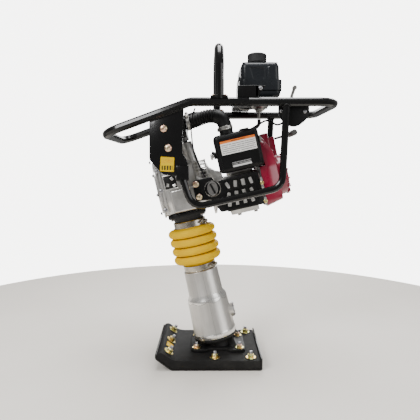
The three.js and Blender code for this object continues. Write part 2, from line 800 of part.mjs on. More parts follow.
function crankshaft() {
  const first = DRUM_FRONT + DRUM_LENGTH + GAP;
  return alongX(ring(0, SHAFT_R, first, FAN_FRONT + 30), ENGINE_AXIS_Z);
}

function flywheel() {
  const low = FAN_FRONT + 4;
  const disc = alongX(ring(SHAFT_R + GAP, FLYWHEEL_R - 8, low, low + 14), ENGINE_AXIS_Z);
  const vanes = [];
  const count = 12;
  for (let i = 0; i < count; i++) {
    const vane = box([low + 4, low + 24], [-1.5, 1.5], [FLYWHEEL_R - 30, FLYWHEEL_R]);
    vanes.push(vane.rotateX((i / count) * 2 * Math.PI).translate(0, 0, ENGINE_AXIS_Z));
  }
  return join(disc, ...vanes);
}

// ---------------------------------------------------------------- clutch housing and engine

function clutchHousing() {
  const centre = ENGINE_AXIS_Z + 8;
  const front = CASE_REAR + GAP;
  const shell = alongX(
    turned([
      [0, front],
      [BELL_R, front],
      [BELL_R, 76],
      [BELL_R - 8, 80],
      [BELL_R - 12, 99],
      [BELL_R - 32, 106],
      [BELL_R - 48, 124],
      [BELL_R - 56, BELL_REAR],
      [0, BELL_REAR],
    ]),
    centre,
  );
  const hollow = alongX(ring(0, DRUM_R + 5, front - 1, DRUM_FRONT + DRUM_LENGTH + 6), ENGINE_AXIS_Z);
  const shaftHole = alongX(ring(0, SHAFT_R + 4, front, BELL_REAR + 1), ENGINE_AXIS_Z);
  const below = box([0, 300], [-200, 200], [BELL_LOW - 200, BELL_LOW]);
  const besideFlange = box([0, 92], [-200, 200], [BELL_LOW - 200, CASE_FLOOR]);
  const sides = [-1, 1].map((side) => box([0, 300], onSide(side, BLOCK_HALF_WIDTH, 160), [400, 700]));
  const filler = bar([OIL_CAP_X, -50, OIL_CAP_Z], [OIL_CAP_X, SIDE_PANEL_Y + 9, OIL_CAP_Z], OIL_CAP_R - 5);
  const fillerBore = bar([OIL_CAP_X, -78, OIL_CAP_Z], [OIL_CAP_X, -130, OIL_CAP_Z], 13, 16);
  const column = bar(columnFoot, columnTop, 19 + GAP);
  return cut(join(cut(shell, below, besideFlange, ...sides), filler), hollow, shaftHole, fillerBore, column);
}

function oilFillerCap() {
  const seat = SIDE_PANEL_Y + 9 - GAP;
  const flange = bar([OIL_CAP_X, seat, OIL_CAP_Z], [OIL_CAP_X, seat - 9, OIL_CAP_Z], OIL_CAP_R);
  const grip = box([-3.5, 3.5], [seat - 17, seat - 8], [-20, 20]);
  const turnedGrip = grip.rotateY(-0.5).translate(OIL_CAP_X, 0, OIL_CAP_Z);
  const plug = bar([OIL_CAP_X, seat + 22, OIL_CAP_Z], [OIL_CAP_X, seat - 1, OIL_CAP_Z], 12, 16);
  return join(flange, turnedGrip, plug);
}

// engine crankcase with its sump flange; the shaft runs through it
function engineBlock() {
  const block = lengthways(
    outline([
      [-BLOCK_HALF_WIDTH, BLOCK_LOW, 10],
      [BLOCK_HALF_WIDTH, BLOCK_LOW, 10],
      [BLOCK_HALF_WIDTH, BLOCK_TOP, 24],
      [-BLOCK_HALF_WIDTH, BLOCK_TOP, 24],
    ]),
    [BLOCK_FRONT, BLOCK_REAR],
  );
  const sump = box(
    [BLOCK_FRONT, BLOCK_REAR - 22],
    [-BLOCK_HALF_WIDTH + 8, BLOCK_HALF_WIDTH - 8],
    [BLOCK_LOW - SUMP, BLOCK_LOW + 1],
  );
  const shaft = alongX(ring(0, SHAFT_R + SLIDING, BLOCK_FRONT - 1, BLOCK_REAR + 1), ENGINE_AXIS_Z);
  return cut(join(block, sump), shaft);
}

// finned cylinder
function engineBarrel() {
  const fins = [];
  const pitch = 12;
  for (let z = BLOCK_TOP + GAP + 5; z + 4 < HEAD_OF_BARREL; z += pitch) {
    fins.push(box([164, 254], [-BARREL_HALF, BARREL_HALF], [z, z + 4]));
  }
  const core = box([172, 246], [-BARREL_HALF + 14, BARREL_HALF - 14], [BLOCK_TOP + GAP, HEAD_OF_BARREL]);
  return join(core, ...fins);
}

function rockerCover() {
  const low = HEAD_OF_BARREL + GAP;
  return roundedBox([172, 246], [-44, 44], [low, low + 24], 12);
}

// the panel's cells show the finned casting behind it
function sidePanel() {
  const near = SIDE_PANEL_Y;
  const plate = sideways(
    outline([
      [42, 548, 8],
      [92, 542, 6],
      [112, 496, 6],
      [238, 494, 8],
      [250, 594, 8],
      [112, 594, 4],
      [108, 612, 10],
      [44, 612, 10],
    ]),
    [near, near + SIDE_PANEL],
  );
  const through = [near - 1, near + SIDE_PANEL + 1];
  const cells = CELL_HEIGHTS.flatMap((height, row) =>
    [0, 1, 2, 3].map((column) => {
      const x = CELL_FRONT + column * CELL_PITCH - row * 3;
      const top = CELL_TOP - row * CELL_DROP;
      const low = top - height;
      const far = x + CELL_WIDTH;
      return sideways(outline([[x, low, 2], [far, low, 2], [far, top, 2], [x, top, 2]]), through, 1);
    }),
  );
  const fillerHole = bar(...through.map((y) => [OIL_CAP_X, y, OIL_CAP_Z]), OIL_CAP_R + 2);
  return cut(plate, ...cells, fillerHole);
}

// a shell whose outline shrinks towards the rear
function tapered(shape, x, scaleEnd, centreZ) {
  const g = lengthways(shape, x, 5);
  const p = g.getAttribute('position');
  for (let i = 0; i < p.count; i++) {
    const t = (p.getX(i) - x[0]) / (x[1] - x[0]);
    const s = 1 + (scaleEnd - 1) * t;
    p.setY(i, p.getY(i) * s);
    p.setZ(i, centreZ + (p.getZ(i) - centreZ) * s);
  }
  return g;
}

function fanCover() {
  const w = FAN_HALF_WIDTH;
  const shape = outline([
    [-w + 8, FAN_LOW, 22],
    [w - 8, FAN_LOW, 22],
    [w, ENGINE_AXIS_Z + 40, 50],
    [60, FAN_HIGH, 26],
    [-60, FAN_HIGH, 26],
    [-w, ENGINE_AXIS_Z + 40, 50],
  ]);
  const shell = tapered(shape, [FAN_FRONT, FAN_REAR], 0.86, ENGINE_AXIS_Z);
  const flywheelRoom = alongX(ring(0, FLYWHEEL_R + 5, FAN_FRONT - 1, FAN_REAR - 24), ENGINE_AXIS_Z);
  const recoilRoom = alongX(ring(0, RECOIL_R - 6, FAN_REAR - 25, FAN_REAR + 1), ENGINE_AXIS_Z);
  const beside = [BOX_NEAR - 10, BOX_NEAR + BOX_DEPTH + 4];
  const besideBox = box([0, BOX_REAR + 2], beside, [BOX_LOW - 3, FAN_HIGH + 9]);
  const aboveSlope = sideways(
    outline([
      [FAN_SLOPE_FRONT, FAN_HIGH],
      [FAN_REAR, FAN_SLOPE_FOOT],
      [FAN_REAR + 2, FAN_SLOPE_FOOT],
      [FAN_REAR + 2, FAN_HIGH + 2],
      [FAN_SLOPE_FRONT, FAN_HIGH + 2],
    ]),
    [-FAN_HALF_WIDTH - 1, FAN_HALF_WIDTH + 1],
  );
  return cut(shell, flywheelRoom, recoilRoom, besideBox, aboveSlope);
}

function recoilHousing() {
  const low = FAN_REAR + GAP;
  const shell = alongX(
    turned([
      [0, RECOIL_REAR],
      [RECOIL_R - 16, RECOIL_REAR],
      [RECOIL_R - 3, RECOIL_REAR - 8],
      [RECOIL_R, low],
      [0, low],
    ].reverse()),
    ENGINE_AXIS_Z,
  );
  const room = alongX(ring(0, RECOIL_R - 9, low - 1, RECOIL_REAR - 5), ENGINE_AXIS_Z);
  const ropeZ = ENGINE_AXIS_Z + ROPE_RISE;
  const ropeTab = box([low, low + ROPE_TAB], [-12, 12], [ENGINE_AXIS_Z + 58, ropeZ + ROPE_HOLE_R + 3]);
  const ropeHole = bar([low - 5, 0, ropeZ], [low + 40, 0, ropeZ], ROPE_HOLE_R, 10);
  return cut(join(shell, ropeTab), room, ropeHole);
}

const recoilReel = () => {
  const low = FAN_REAR + GAP + 2;
  const profile = [
    [5, low],
    [50, low],
    [50, low + 3],
    [44, low + 4],
    [44, low + 9],
    [50, low + 10],
    [50, low + 13],
    [5, low + 13],
    [5, low],
  ];
  return alongX(turned(profile), ENGINE_AXIS_Z);
};

// the rope leaves its tab and runs back to the grip
const ropeExit = outOfLeg(FAN_REAR + ROPE_TAB + 2, 0, ENGINE_AXIS_Z + ROPE_RISE);
const gripAt = [281, 0, 765];

function starterRope() {
  const a = new THREE.Vector3(...ropeExit);
  const b = new THREE.Vector3(...gripAt);
  const along = b.clone().sub(a).normalize();
  const from = a.clone().addScaledVector(along, 1);
  const to = b.clone().addScaledVector(along, -GRIP_R - 7);
  return bar(from.toArray(), to.toArray(), ROPE_R, 8);
}

function starterGrip() {
  const a = new THREE.Vector3(...ropeExit);
  const b = new THREE.Vector3(...gripAt);
  const along = b.clone().sub(a).normalize();
  const neckEnd = b.clone().addScaledVector(along, -GRIP_R - 6);
  const neck = bar(neckEnd.toArray(), b.toArray(), 8, 12);
  const handle = bar([b.x, -GRIP_HALF_LENGTH, b.z], [b.x, GRIP_HALF_LENGTH, b.z], GRIP_R, 16);
  return join(handle, neck);
}

function muffler() {
  const body = sideways(
    outline([[158, 604, 14], [256, 604, 14], [256, 700, 14], [158, 700, 14]]),
    [66, 124],
  );
  const pipe = bar([209, BARREL_HALF + GAP, 672], [209, 70, 672], 15, 16);
  return join(body, pipe);
}

function sparkPlugCap() {
  const seat = [209 - 51, 0, 668];
  return bar([seat[0], 0, seat[2]], [seat[0] - 34, 0, seat[2] + 18], 9, 12);
}

// ---------------------------------------------------------------- intake

function airBox() {
  const y = [BOX_NEAR, BOX_NEAR + BOX_DEPTH];
  const main = sideways(
    outline([
      [BOX_FRONT, BOX_LOW, 16],
      [BOX_REAR - 5, BOX_LOW, 16],
      [BOX_REAR, BOX_TOP - 8, 16],
      [BOX_FRONT, BOX_TOP, 16],
    ]),
    y,
  );
  const neck = bar([INTAKE_X, BOX_NEAR + 27, BOX_TOP - 10], [INTAKE_X, BOX_NEAR + 27, BOX_TOP + 7], 19);
  const latch = box([224, 252], [BOX_NEAR + 14, BOX_NEAR + 40], [BOX_TOP - 12, BOX_TOP + 3]);
  const bore = bar([INTAKE_X, BOX_NEAR + 27, BOX_TOP - 20], [INTAKE_X, BOX_NEAR + 27, BOX_TOP + 8], 15);
  return cut(join(main, neck, latch), bore);
}

function carburettor() {
  const y0 = BOX_NEAR + BOX_DEPTH + GAP;
  const barrel = bar([209, y0, 660], [209, -BARREL_HALF - GAP, 660], 17);
  const bowl = bar([209, y0 + 11, 640], [209, y0 + 11, 625], 9.5, 16);
  const body = box([190, 228], [y0 + 2, y0 + 20], [638, 680]);
  return join(barrel, body, bowl);
}

// on the carburettor's rear face, turned about the leg's X
function chokeLever() {
  const x = 228 + GAP;
  const disc = bar([x, -66, 652], [x + 3, -66, 652], 6, 12);
  const arm = box([x, x + 2.5], [-68.5, -63.5], [640, 652]);
  return join(disc, arm);
}

const hoseRoute = [
  [INTAKE_X, BOX_NEAR + 27, BOX_TOP + 8],
  [INTAKE_X, BOX_NEAR + 27, 762],
  [177, -102, 781],
  [160, -99, 794],
  [139, -93, 800],
  [109, -84, 799],
  [86, -74, 796],
  [66, -72, 795],
];

const intakeHose = () => cord(hoseRoute, HOSE_R, 12, 22);

function airFilterHousing() {
  const x = HEAD_REAR + GAP;
  const body = lengthways(
    outline([[-104, 752, 14], [70, 752, 14], [70, 832, 14], [-104, 832, 14]]),
    [x, x + 26],
  );
  const outlet = bar([x + 20, -72, 795], [x + 29.5, -72, 795], 19);
  return join(body, outlet);
}

// ---------------------------------------------------------------- frame

function railZ(x) {
  if (x >= RAIL_KNEE_X) return RAIL_Z;
  const slope = (RAIL_Z - LOOP_FRONT_Z) / (RAIL_KNEE_X - LOOP_FRONT_X);
  return RAIL_Z + (x - RAIL_KNEE_X) * slope;
}

// One bent loop of tube; its two halves meet in a sleeve joint half way along each rail.
function handleLoop() {
  const w = FRAME_HALF_WIDTH;
  const joint = 120;
  const front = bent(
    [
      [joint, -w, RAIL_Z],
      [RAIL_KNEE_X, -w, RAIL_Z],
      [LOOP_FRONT_X, -w, LOOP_FRONT_Z],
      [LOOP_FRONT_X, w, LOOP_FRONT_Z],
      [RAIL_KNEE_X, w, RAIL_Z],
      [joint, w, RAIL_Z],
    ],
    LOOP_BEND,
    TUBE_R,
  );
  const rear = bent(
    [
      [joint - 8, -w, RAIL_Z],
      [LOOP_REAR_X, -w, RAIL_Z],
      [LOOP_REAR_X, w, RAIL_Z],
      [joint - 8, w, RAIL_Z],
    ],
    LOOP_BEND,
    TUBE_R - 0.2,
  );
  return join(front, rear);
}

const railCylinder = (side, grow) =>
  bar([-200, side * FRAME_HALF_WIDTH, RAIL_Z], [500, side * FRAME_HALF_WIDTH, RAIL_Z], TUBE_R + grow, 24);

function liftingHoop() {
  const w = FRAME_HALF_WIDTH;
  const foot = RAIL_Z + TUBE_R - 4;
  const top = HOOP_TOP - HOOP_TUBE_R;
  const arch = bent(
    [
      [HOOP_X, -w, foot],
      [HOOP_X, -w, top],
      [HOOP_X, w, top],
      [HOOP_X, w, foot],
    ],
    HOOP_BEND,
    HOOP_TUBE_R,
  );
  const seat = RAIL_Z + TUBE_R;
  const feet = [-1, 1].map((side) =>
    box([HOOP_X - 26, HOOP_X + 26], [side * w - 12, side * w + 12], [seat - 3, seat + 4]),
  );
  return cut(join(arch, ...feet), railCylinder(-1, GAP), railCylinder(1, GAP));
}

// the rail's knee shaves the plate's top edge
function sidePlate(side) {
  const y = onSide(side, FRAME_HALF_WIDTH - SIDE_PLATE, FRAME_HALF_WIDTH);
  const under = TUBE_R + 0.8;
  const plate = sideways(
    outline([
      [-179, railZ(-179) - under],
      [-180, 673, 6],
      [-140, 628, 10],
      [-94, 622, 14],
      [-58, 660, 18],
      [-81, 694, 10],
      [-75, railZ(-75) - under],
    ]),
    y,
    3,
  );
  return plate;
}

const guardCorners = (side) =>
  [
    [233, RAIL_Z - TUBE_R + 3],
    [223.6, 589],
    [-50.5, 526],
    [-78, 610],
  ].map(([x, z]) => [x, side * FRAME_HALF_WIDTH, z]);

function guardTube(side) {
  const tube = bent(guardCorners(side), GUARD_BEND, GUARD_R);
  const y = onSide(side, FRAME_HALF_WIDTH - SIDE_PLATE - GAP, FRAME_HALF_WIDTH + GAP);
  const slot = box([-110, -60], y, [590, 640]);
  return cut(tube, railCylinder(side, GAP), slot);
}

// ---------------------------------------------------------------- fuel tank

function fuelTank() {
  const w = TANK_HALF_WIDTH;
  const lower = roundedBox([TANK_FRONT, TANK_REAR], [-w, w], [TANK_LOW, TANK_SEAM], TANK_CORNER - 2);
  const seam = [TANK_SEAM - 3, TANK_SEAM + 3];
  const flange = roundedBox([TANK_FRONT - 3, TANK_REAR + 3], [-w - 4, w + 4], seam, 16);
  const aboveSeam = [TANK_SEAM, TANK_TOP];
  const upper = roundedBox([TANK_FRONT + 2, TANK_UPPER_REAR], [-w + 3, w - 3], aboveSeam, TANK_CORNER);
  const neck = bar([FILLER_X, 0, TANK_TOP - 1], [FILLER_X, 0, CAP_LOW + 14], FILLER_R);
  const t = TANK_WALL;
  const room = roundedBox(
    [TANK_FRONT + 2 + t, TANK_UPPER_REAR - t],
    [-w + 3 + t, w - 3 - t],
    [TANK_LOW + t, TANK_TOP - t],
    12,
  );
  const bore = bar([FILLER_X, 0, TANK_TOP - t - 1], [FILLER_X, 0, CAP_LOW + 15], FILLER_R - 4);
  return cut(join(lower, flange, upper, neck), room, bore);
}

const fuelCap = () => {
  const inner = FILLER_R + 0.5;
  return turned([
    [0, CAP_LOW + 16],
    [inner, CAP_LOW + 16],
    [inner, CAP_LOW],
    [CAP_R, CAP_LOW],
    [CAP_R, CAP_TOP - 4],
    [CAP_R - 4, CAP_TOP],
    [0, CAP_TOP],
  ]).translate(FILLER_X, 0, 0);
};

// a folded tray across the rails, with upright ears, and the tap's boss underneath
function tankBracket() {
  const w = FRAME_HALF_WIDTH;
  const low = RAIL_Z + TUBE_R + GAP;
  const across = [-TRAY_HALF_WIDTH, TRAY_HALF_WIDTH];
  const tray = box([TRAY_FRONT, TRAY_REAR], across, [low + 3, low + 3 + SHEET]);
  const strapped = [TRAY_FRONT, STRAP_REAR];
  const straps = [-1, 1].map((side) => box(strapped, onSide(side, 100, w + 4), [low, low + SHEET]));
  const ears = [-1, 1].map((side) => box(strapped, onSide(side, w - 2, w + 4), [low + 2, low + 34]));
  return join(tray, ...straps, ...ears);
}

const tapAt = [168, -8];

function fuelTap() {
  const top = RAIL_Z + TUBE_R + 3;
  const body = bar([tapAt[0], tapAt[1], top], [tapAt[0], tapAt[1], top - 26], 11, 16);
  const spout = bar([tapAt[0], tapAt[1], top - 24], [tapAt[0], tapAt[1], top - 44], 5, 12);
  const flat = box([tapAt[0] - 8, tapAt[0] + 8], [tapAt[1] - 14, tapAt[1]], [top - 24, top - 6]);
  return join(body, spout, flat);
}

function fuelTapLever() {
  const top = RAIL_Z + TUBE_R + 3;
  const z = top - 15;
  const y = tapAt[1] - 14 - GAP;
  const disc = bar([tapAt[0], y, z], [tapAt[0], y - 6, z], 7, 12);
  const arm = box([tapAt[0] - 4, tapAt[0] + 26], [y - 6, y - 2], [z - 3.5, z + 3.5]);
  return join(disc, arm);
}

const fuelHoseRoute = [
  [305, -8, 762],
  [300, -10, 746],
  [284, -20, 736],
  [266, -38, 732],
  [248, -56, 722],
  [231, -64, 704],
  [221, -64, 684],
];

const stopWireRoute = [
  [-42, -146, 828],
  [-50, -124, 806],
  [-55, -104, 768],
  [-49, -100, 712],
  [-37, -108, 672],
  [-20, -118, 635],
  [-11, -121, 619],
];

// ---------------------------------------------------------------- throttle

const throttleY = [-FRAME_HALF_WIDTH + TUBE_R + GAP, -FRAME_HALF_WIDTH + TUBE_R + 19];
const leverPivot = [251, 811];

function throttleHousing() {
  const top = RAIL_Z + 6;
  const [y0, y1] = throttleY;
  return sideways(
    outline([
      [213, 800, 22],
      [250, 774, 26],
      [272, 774, 26],
      [305, 800, 22],
      [305, top, 3],
      [213, top, 3],
    ]),
    [y0, y1],
  );
}

function throttleLever() {
  const y = throttleY[1] + GAP;
  const hub = bar([leverPivot[0], y, leverPivot[1]], [leverPivot[0], y + 5, leverPivot[1]], 10, 16);
  const arm = sideways(
    outline([
      [246, 811],
      [256, 811],
      [259, 868, 3],
      [268, 893, 4],
      [259, 896, 4],
      [250, 868, 3],
    ]),
    [y, y + 4],
  );
  const pad = bar([263.5, y - 3, 893], [263.5, y + 12, 893], 6.5, 12);
  return join(hub, arm, pad);
}

const throttleCableRoute = [
  [225, -142, 785],
  [216, -134, 781],
  [208, -112, 784],
  [198, -88, 795],
  [182, -73, 799],
  [158, -71, 786],
  [130, -71, 770],
  [106, -71, 756],
  [91, -70, 736],
  [84, -67, 712],
];

// ---------------------------------------------------------------- assembly

add(machine, 'shoe_plate', shoePlate(), 'blackPaint');
add(machine, 'shoe_board', shoeBoard(), 'board');
add(machine, 'foot_bracket', footBracket(), 'blackCast');
add(leg, 'ram_cylinder', ramCylinder(), 'castGrey');
add(leg, 'sight_glass', sightGlass(), 'greyPlastic');
add(leg, 'spring_sleeve', springSleeve(), 'steel');
add(leg, 'lower_spring', coilSpring(RAM_FLOOR + 1, PISTON_LOW - 1, 6), 'steel');
add(leg, 'upper_spring', coilSpring(PISTON_LOW + PISTON + 1, SLEEVE_TOP - 9, 6), 'steel');
add(leg, 'piston_rod', pistonRod(), 'steel');
add(leg, 'bellows', bellows(), 'yellow');
add(leg, 'lower_bellows_clamp', bandClamp(LOWER_CUFF_Z), 'steel');
add(leg, 'upper_bellows_clamp', bandClamp(UPPER_CUFF_Z), 'steel');
add(leg, 'guide_cylinder', guideCylinder(), 'blackCast');
add(leg, 'gear_case', gearCase(), 'aluminium');
add(leg, 'gear_case_cover', caseCover(), 'aluminium');
for (const [name, side] of [['left', -1], ['right', 1]]) {
  MOUNT_Z.forEach((z, i) => add(leg, `shock_mount_${name}_${i + 1}`, shockMount(side, z), 'rubber'));
}
add(leg, 'crank_gear', crankGear(), 'steel');
add(leg, 'connecting_rod', connectingRod(), 'steel');
add(leg, 'pinion_shaft', pinionShaft(), 'steel');
add(leg, 'clutch_drum', clutchDrum(), 'steel');
add(leg, 'clutch_rotor', clutchRotor(), 'steel');
add(leg, 'crankshaft', crankshaft(), 'steel');
add(leg, 'flywheel', flywheel(), 'castGrey');
add(leg, 'clutch_housing', clutchHousing(), 'aluminium');
add(leg, 'oil_filler_cap', oilFillerCap(), 'greyPlastic');
add(leg, 'engine_block', engineBlock(), 'aluminium');
add(leg, 'engine_barrel', engineBarrel(), 'aluminium');
add(leg, 'rocker_cover', rockerCover(), 'blackPaint');
add(leg, 'spark_plug_cap', sparkPlugCap(), 'rubber');
add(leg, 'muffler', muffler(), 'steel');
add(leg, 'side_panel', sidePanel(), 'blackPlastic');
add(leg, 'fan_cover', fanCover(), 'red');
add(leg, 'recoil_housing', recoilHousing(), 'red');
add(leg, 'recoil_reel', recoilReel(), 'greyPlastic');
add(machine, 'starter_rope', starterRope(), 'rubber');
add(machine, 'starter_grip', starterGrip(), 'greyPlastic');
add(leg, 'air_box', airBox(), 'blackPlastic');
add(leg, 'carburettor', carburettor(), 'aluminium');
add(leg, 'choke_lever', chokeLever(), 'steel');
add(leg, 'intake_hose', intakeHose(), 'rubber');
add(leg, 'air_filter_housing', airFilterHousing(), 'blackPlastic');
add(machine, 'handle_loop', handleLoop(), 'blackPaint');
add(machine, 'lifting_hoop', liftingHoop(), 'blackPaint');
for (const [name, side] of [['left', -1], ['right', 1]]) {
  add(machine, `side_plate_${name}`, sidePlate(side), 'blackPaint');
  add(machine, `guard_tube_${name}`, guardTube(side), 'blackPaint');
}
add(machine, 'fuel_tank', fuelTank(), 'blackPlastic');
add(machine, 'fuel_cap', fuelCap(), 'blackPlastic');
add(machine, 'tank_bracket', tankBracket(), 'blackPaint');
add(machine, 'fuel_tap', fuelTap(), 'steel');
add(machine, 'fuel_tap_lever', fuelTapLever(), 'steel');
add(leg, 'fuel_hose', cord(fuelHoseRoute, 6, 10, 12), 'rubber');
add(machine, 'stop_wire', cord(stopWireRoute, 2.2, 8, 14), 'rubber');
add(machine, 'throttle_housing', throttleHousing(), 'blackPlastic');
add(machine, 'throttle_lever', throttleLever(), 'steel');
add(machine, 'throttle_cable', cord(throttleCableRoute, 3, 8, 20), 'rubber');

export default machine;
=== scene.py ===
# %% [markdown]
# A tamping rammer stands on a flat shoe and leans forward on one leg. The frame
# loaded here is the machine's measured model: its nodes are the castings, tubes
# and covers, and its bodies are what moves. This lesson gives them their paint,
# metal and rubber, and adds the small parts that a hand would feel for: nuts,
# washers, hoses, clamps, labels and weld beads. Everything is in metres.

# %% Load the frame
import json
import math

import bmesh
import bpy
from mathutils import Matrix, Vector

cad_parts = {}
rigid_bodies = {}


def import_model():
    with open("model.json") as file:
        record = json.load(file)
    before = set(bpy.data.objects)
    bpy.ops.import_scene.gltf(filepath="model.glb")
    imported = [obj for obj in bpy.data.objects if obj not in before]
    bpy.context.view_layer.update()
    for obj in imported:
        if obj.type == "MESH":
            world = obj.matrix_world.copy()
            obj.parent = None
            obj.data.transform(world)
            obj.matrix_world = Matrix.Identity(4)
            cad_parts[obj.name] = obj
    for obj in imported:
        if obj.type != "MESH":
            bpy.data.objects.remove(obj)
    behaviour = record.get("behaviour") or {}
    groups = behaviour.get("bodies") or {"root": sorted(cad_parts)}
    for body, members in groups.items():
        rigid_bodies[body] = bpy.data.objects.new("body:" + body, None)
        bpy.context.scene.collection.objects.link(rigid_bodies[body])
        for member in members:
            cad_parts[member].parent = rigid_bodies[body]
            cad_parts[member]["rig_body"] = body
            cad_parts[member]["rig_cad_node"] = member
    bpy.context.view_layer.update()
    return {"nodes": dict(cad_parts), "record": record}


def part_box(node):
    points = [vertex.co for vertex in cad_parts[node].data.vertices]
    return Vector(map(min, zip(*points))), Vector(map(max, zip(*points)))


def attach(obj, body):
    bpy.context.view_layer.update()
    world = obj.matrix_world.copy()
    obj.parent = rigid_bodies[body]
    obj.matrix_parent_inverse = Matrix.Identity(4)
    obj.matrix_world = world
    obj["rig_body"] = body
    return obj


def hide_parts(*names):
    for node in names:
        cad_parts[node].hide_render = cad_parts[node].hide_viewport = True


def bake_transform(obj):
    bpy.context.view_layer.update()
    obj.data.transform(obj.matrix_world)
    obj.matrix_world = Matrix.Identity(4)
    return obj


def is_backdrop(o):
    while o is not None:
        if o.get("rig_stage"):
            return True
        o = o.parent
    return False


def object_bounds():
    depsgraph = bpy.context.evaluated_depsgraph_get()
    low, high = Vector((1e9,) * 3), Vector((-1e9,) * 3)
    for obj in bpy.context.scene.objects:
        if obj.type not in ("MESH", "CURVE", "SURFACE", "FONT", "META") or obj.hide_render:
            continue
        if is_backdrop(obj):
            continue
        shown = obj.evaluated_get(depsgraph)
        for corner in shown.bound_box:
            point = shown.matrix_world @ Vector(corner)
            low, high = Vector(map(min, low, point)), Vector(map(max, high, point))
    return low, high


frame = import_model()
NODES = frame["nodes"]
MM = 0.001

# %% [markdown]
# The leg leans 12.8 degrees. Everything bolted to it, engine included, is easier
# to place in the leg's own frame, so one matrix takes a point from that frame to
# the ground's, and one function does it for a point in millimetres.

# %% The leg's own frame
LEAN = math.radians(12.8)
LEG_FOOT = 0.0403
LEG = Matrix.Translation((LEG_FOOT, 0, 0)) @ Matrix.Rotation(-LEAN, 4, "Y")
SIDES = ((-1, "left"), (1, "right"))


def ground(x, y, z):
    """A point in millimetres over the ground, in metres."""
    return Vector((x * MM, y * MM, z * MM))


def leg(x, y, z):
    """A point of the leg's frame, in millimetres, as a point of the ground's."""
    return LEG @ ground(x, y, z)


def shift(x, y, z):
    """The matrix that moves a piece by so many millimetres."""
    return Matrix.Translation((x * MM, y * MM, z * MM))


def turned(degrees, axis):
    return Matrix.Rotation(math.radians(degrees), 4, axis)


print("leg axis", tuple(round(v, 3) for v in leg(0, 0, 1000) - leg(0, 0, 0)))

# %% [markdown]
# The camera stands a metre and a half off the machine's left side, at chest
# height, and looks a little down. The floor is a plain pale disc.

# %% Camera and floor
camera = bpy.data.objects.new("camera", bpy.data.cameras.new("camera"))
bpy.context.scene.collection.objects.link(camera)
camera.data.sensor_width = 36
camera.data.lens = 38.23
camera.location = (-0.003, -1.5228, 0.6383)
camera.rotation_euler = (math.pi / 2 - 0.087, 0, -0.005)
bpy.context.scene.camera = camera


def clear():
    """Leaves edit mode, with nothing selected."""
    if bpy.context.object and bpy.context.object.mode != "OBJECT":
        bpy.ops.object.mode_set(mode="OBJECT")
    bpy.ops.object.select_all(action="DESELECT")


FLOOR_RADIUS = 1.5
clear()
bpy.ops.mesh.primitive_circle_add(vertices=96, radius=FLOOR_RADIUS, fill_type="NGON")
floor = bpy.context.object
floor.name = "floor"
floor.location.z = -0.0006
floor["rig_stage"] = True
print("floor", FLOOR_RADIUS, "m across its radius")

# %% [markdown]
# Soft light comes from three large lamps: a key high on the left of the camera, a
# wide fill on the right, and one overhead for the tops of the tubes. The pale
# world fills the shadows, as white walls would, and is brighter to the eye than the
# light it sheds, so that the machine keeps its contrast.

# %% Lights


def lamp(name, place, target, size, power):
    """A square soft lamp that faces its target."""
    light = bpy.data.lights.new(name, "AREA")
    light.shape = "SQUARE"
    light.size = size
    light.energy = power
    obj = bpy.data.objects.new(name, light)
    bpy.context.scene.collection.objects.link(obj)
    obj.location = place
    aim = Vector(target) - Vector(place)
    obj.rotation_euler = aim.to_track_quat("-Z", "Y").to_euler()
    return obj


MIDDLE = (0, 0, 0.55)
lamp("key", (-1.9, -2.2, 2.6), MIDDLE, 1.3, 105)
lamp("fill", (2.4, -1.6, 1.3), MIDDLE, 1.6, 26)
lamp("overhead", (0.2, 0.1, 3.0), MIDDLE, 1.6, 110)
lamp("behind", (0.6, 2.6, 1.8), MIDDLE, 1.8, 55)
world = bpy.data.worlds.new("pale_room")
bpy.context.scene.world = world
world.use_nodes = True
sky = world.node_tree.nodes["Background"]
sky.inputs["Color"].default_value = (0.96, 0.95, 0.93, 1)
SEEN, SHED = 6.5, 0.30
seen = world.node_tree.nodes.new("ShaderNodeLightPath").outputs["Is Camera Ray"]
strength = world.node_tree.nodes.new("ShaderNodeMapRange")
strength.inputs["To Min"].default_value = SHED
strength.inputs["To Max"].default_value = SEEN
world.node_tree.links.new(seen, strength.inputs["Value"])
world.node_tree.links.new(strength.outputs["Result"], sky.inputs["Strength"])
print(len(bpy.data.lights), "lamps")

# %% [markdown]
# A finish is a material whose shader is fed by small patterns: specks, streaks,
# dust. Wire wraps a socket, so that a pattern can be written as arithmetic, and
# Finish holds one shader and adds any other node by its type.

# %% Wires and finishes


class Wire:
    """The output of a node. Arithmetic on it adds Math nodes."""

    def __init__(self, finish, socket):
        self.finish = finish
        self.socket = socket

    def math(self, operation, *values):
        sockets = dict(enumerate(values))
        return self.finish.node("ShaderNodeMath", sockets, operation=operation)

    def __add__(self, other):
        return self.math("ADD", self, other)

    def __radd__(self, other):
        return self.math("ADD", other, self)

    def __sub__(self, other):
        return self.math("SUBTRACT", self, other)

    def __rsub__(self, other):
        return self.math("SUBTRACT", other, self)

    def __mul__(self, other):
        return self.math("MULTIPLY", self, other)

    def __gt__(self, other):
        return self.math("GREATER_THAN", self, other)

    def __lt__(self, other):
        return self.math("LESS_THAN", self, other)

    def of(self, operation):
        """A function of this wire alone, such as SQRT or SINE."""
        return self.math(operation, self)

    def between(self, low, high):
        """0 below low, 1 above high, and a soft step from one to the other."""
        sockets = {"Value": self, "From Min": low, "From Max": high}
        return self.finish.node(
            "ShaderNodeMapRange", sockets, interpolation_type="SMOOTHSTEP"
        )


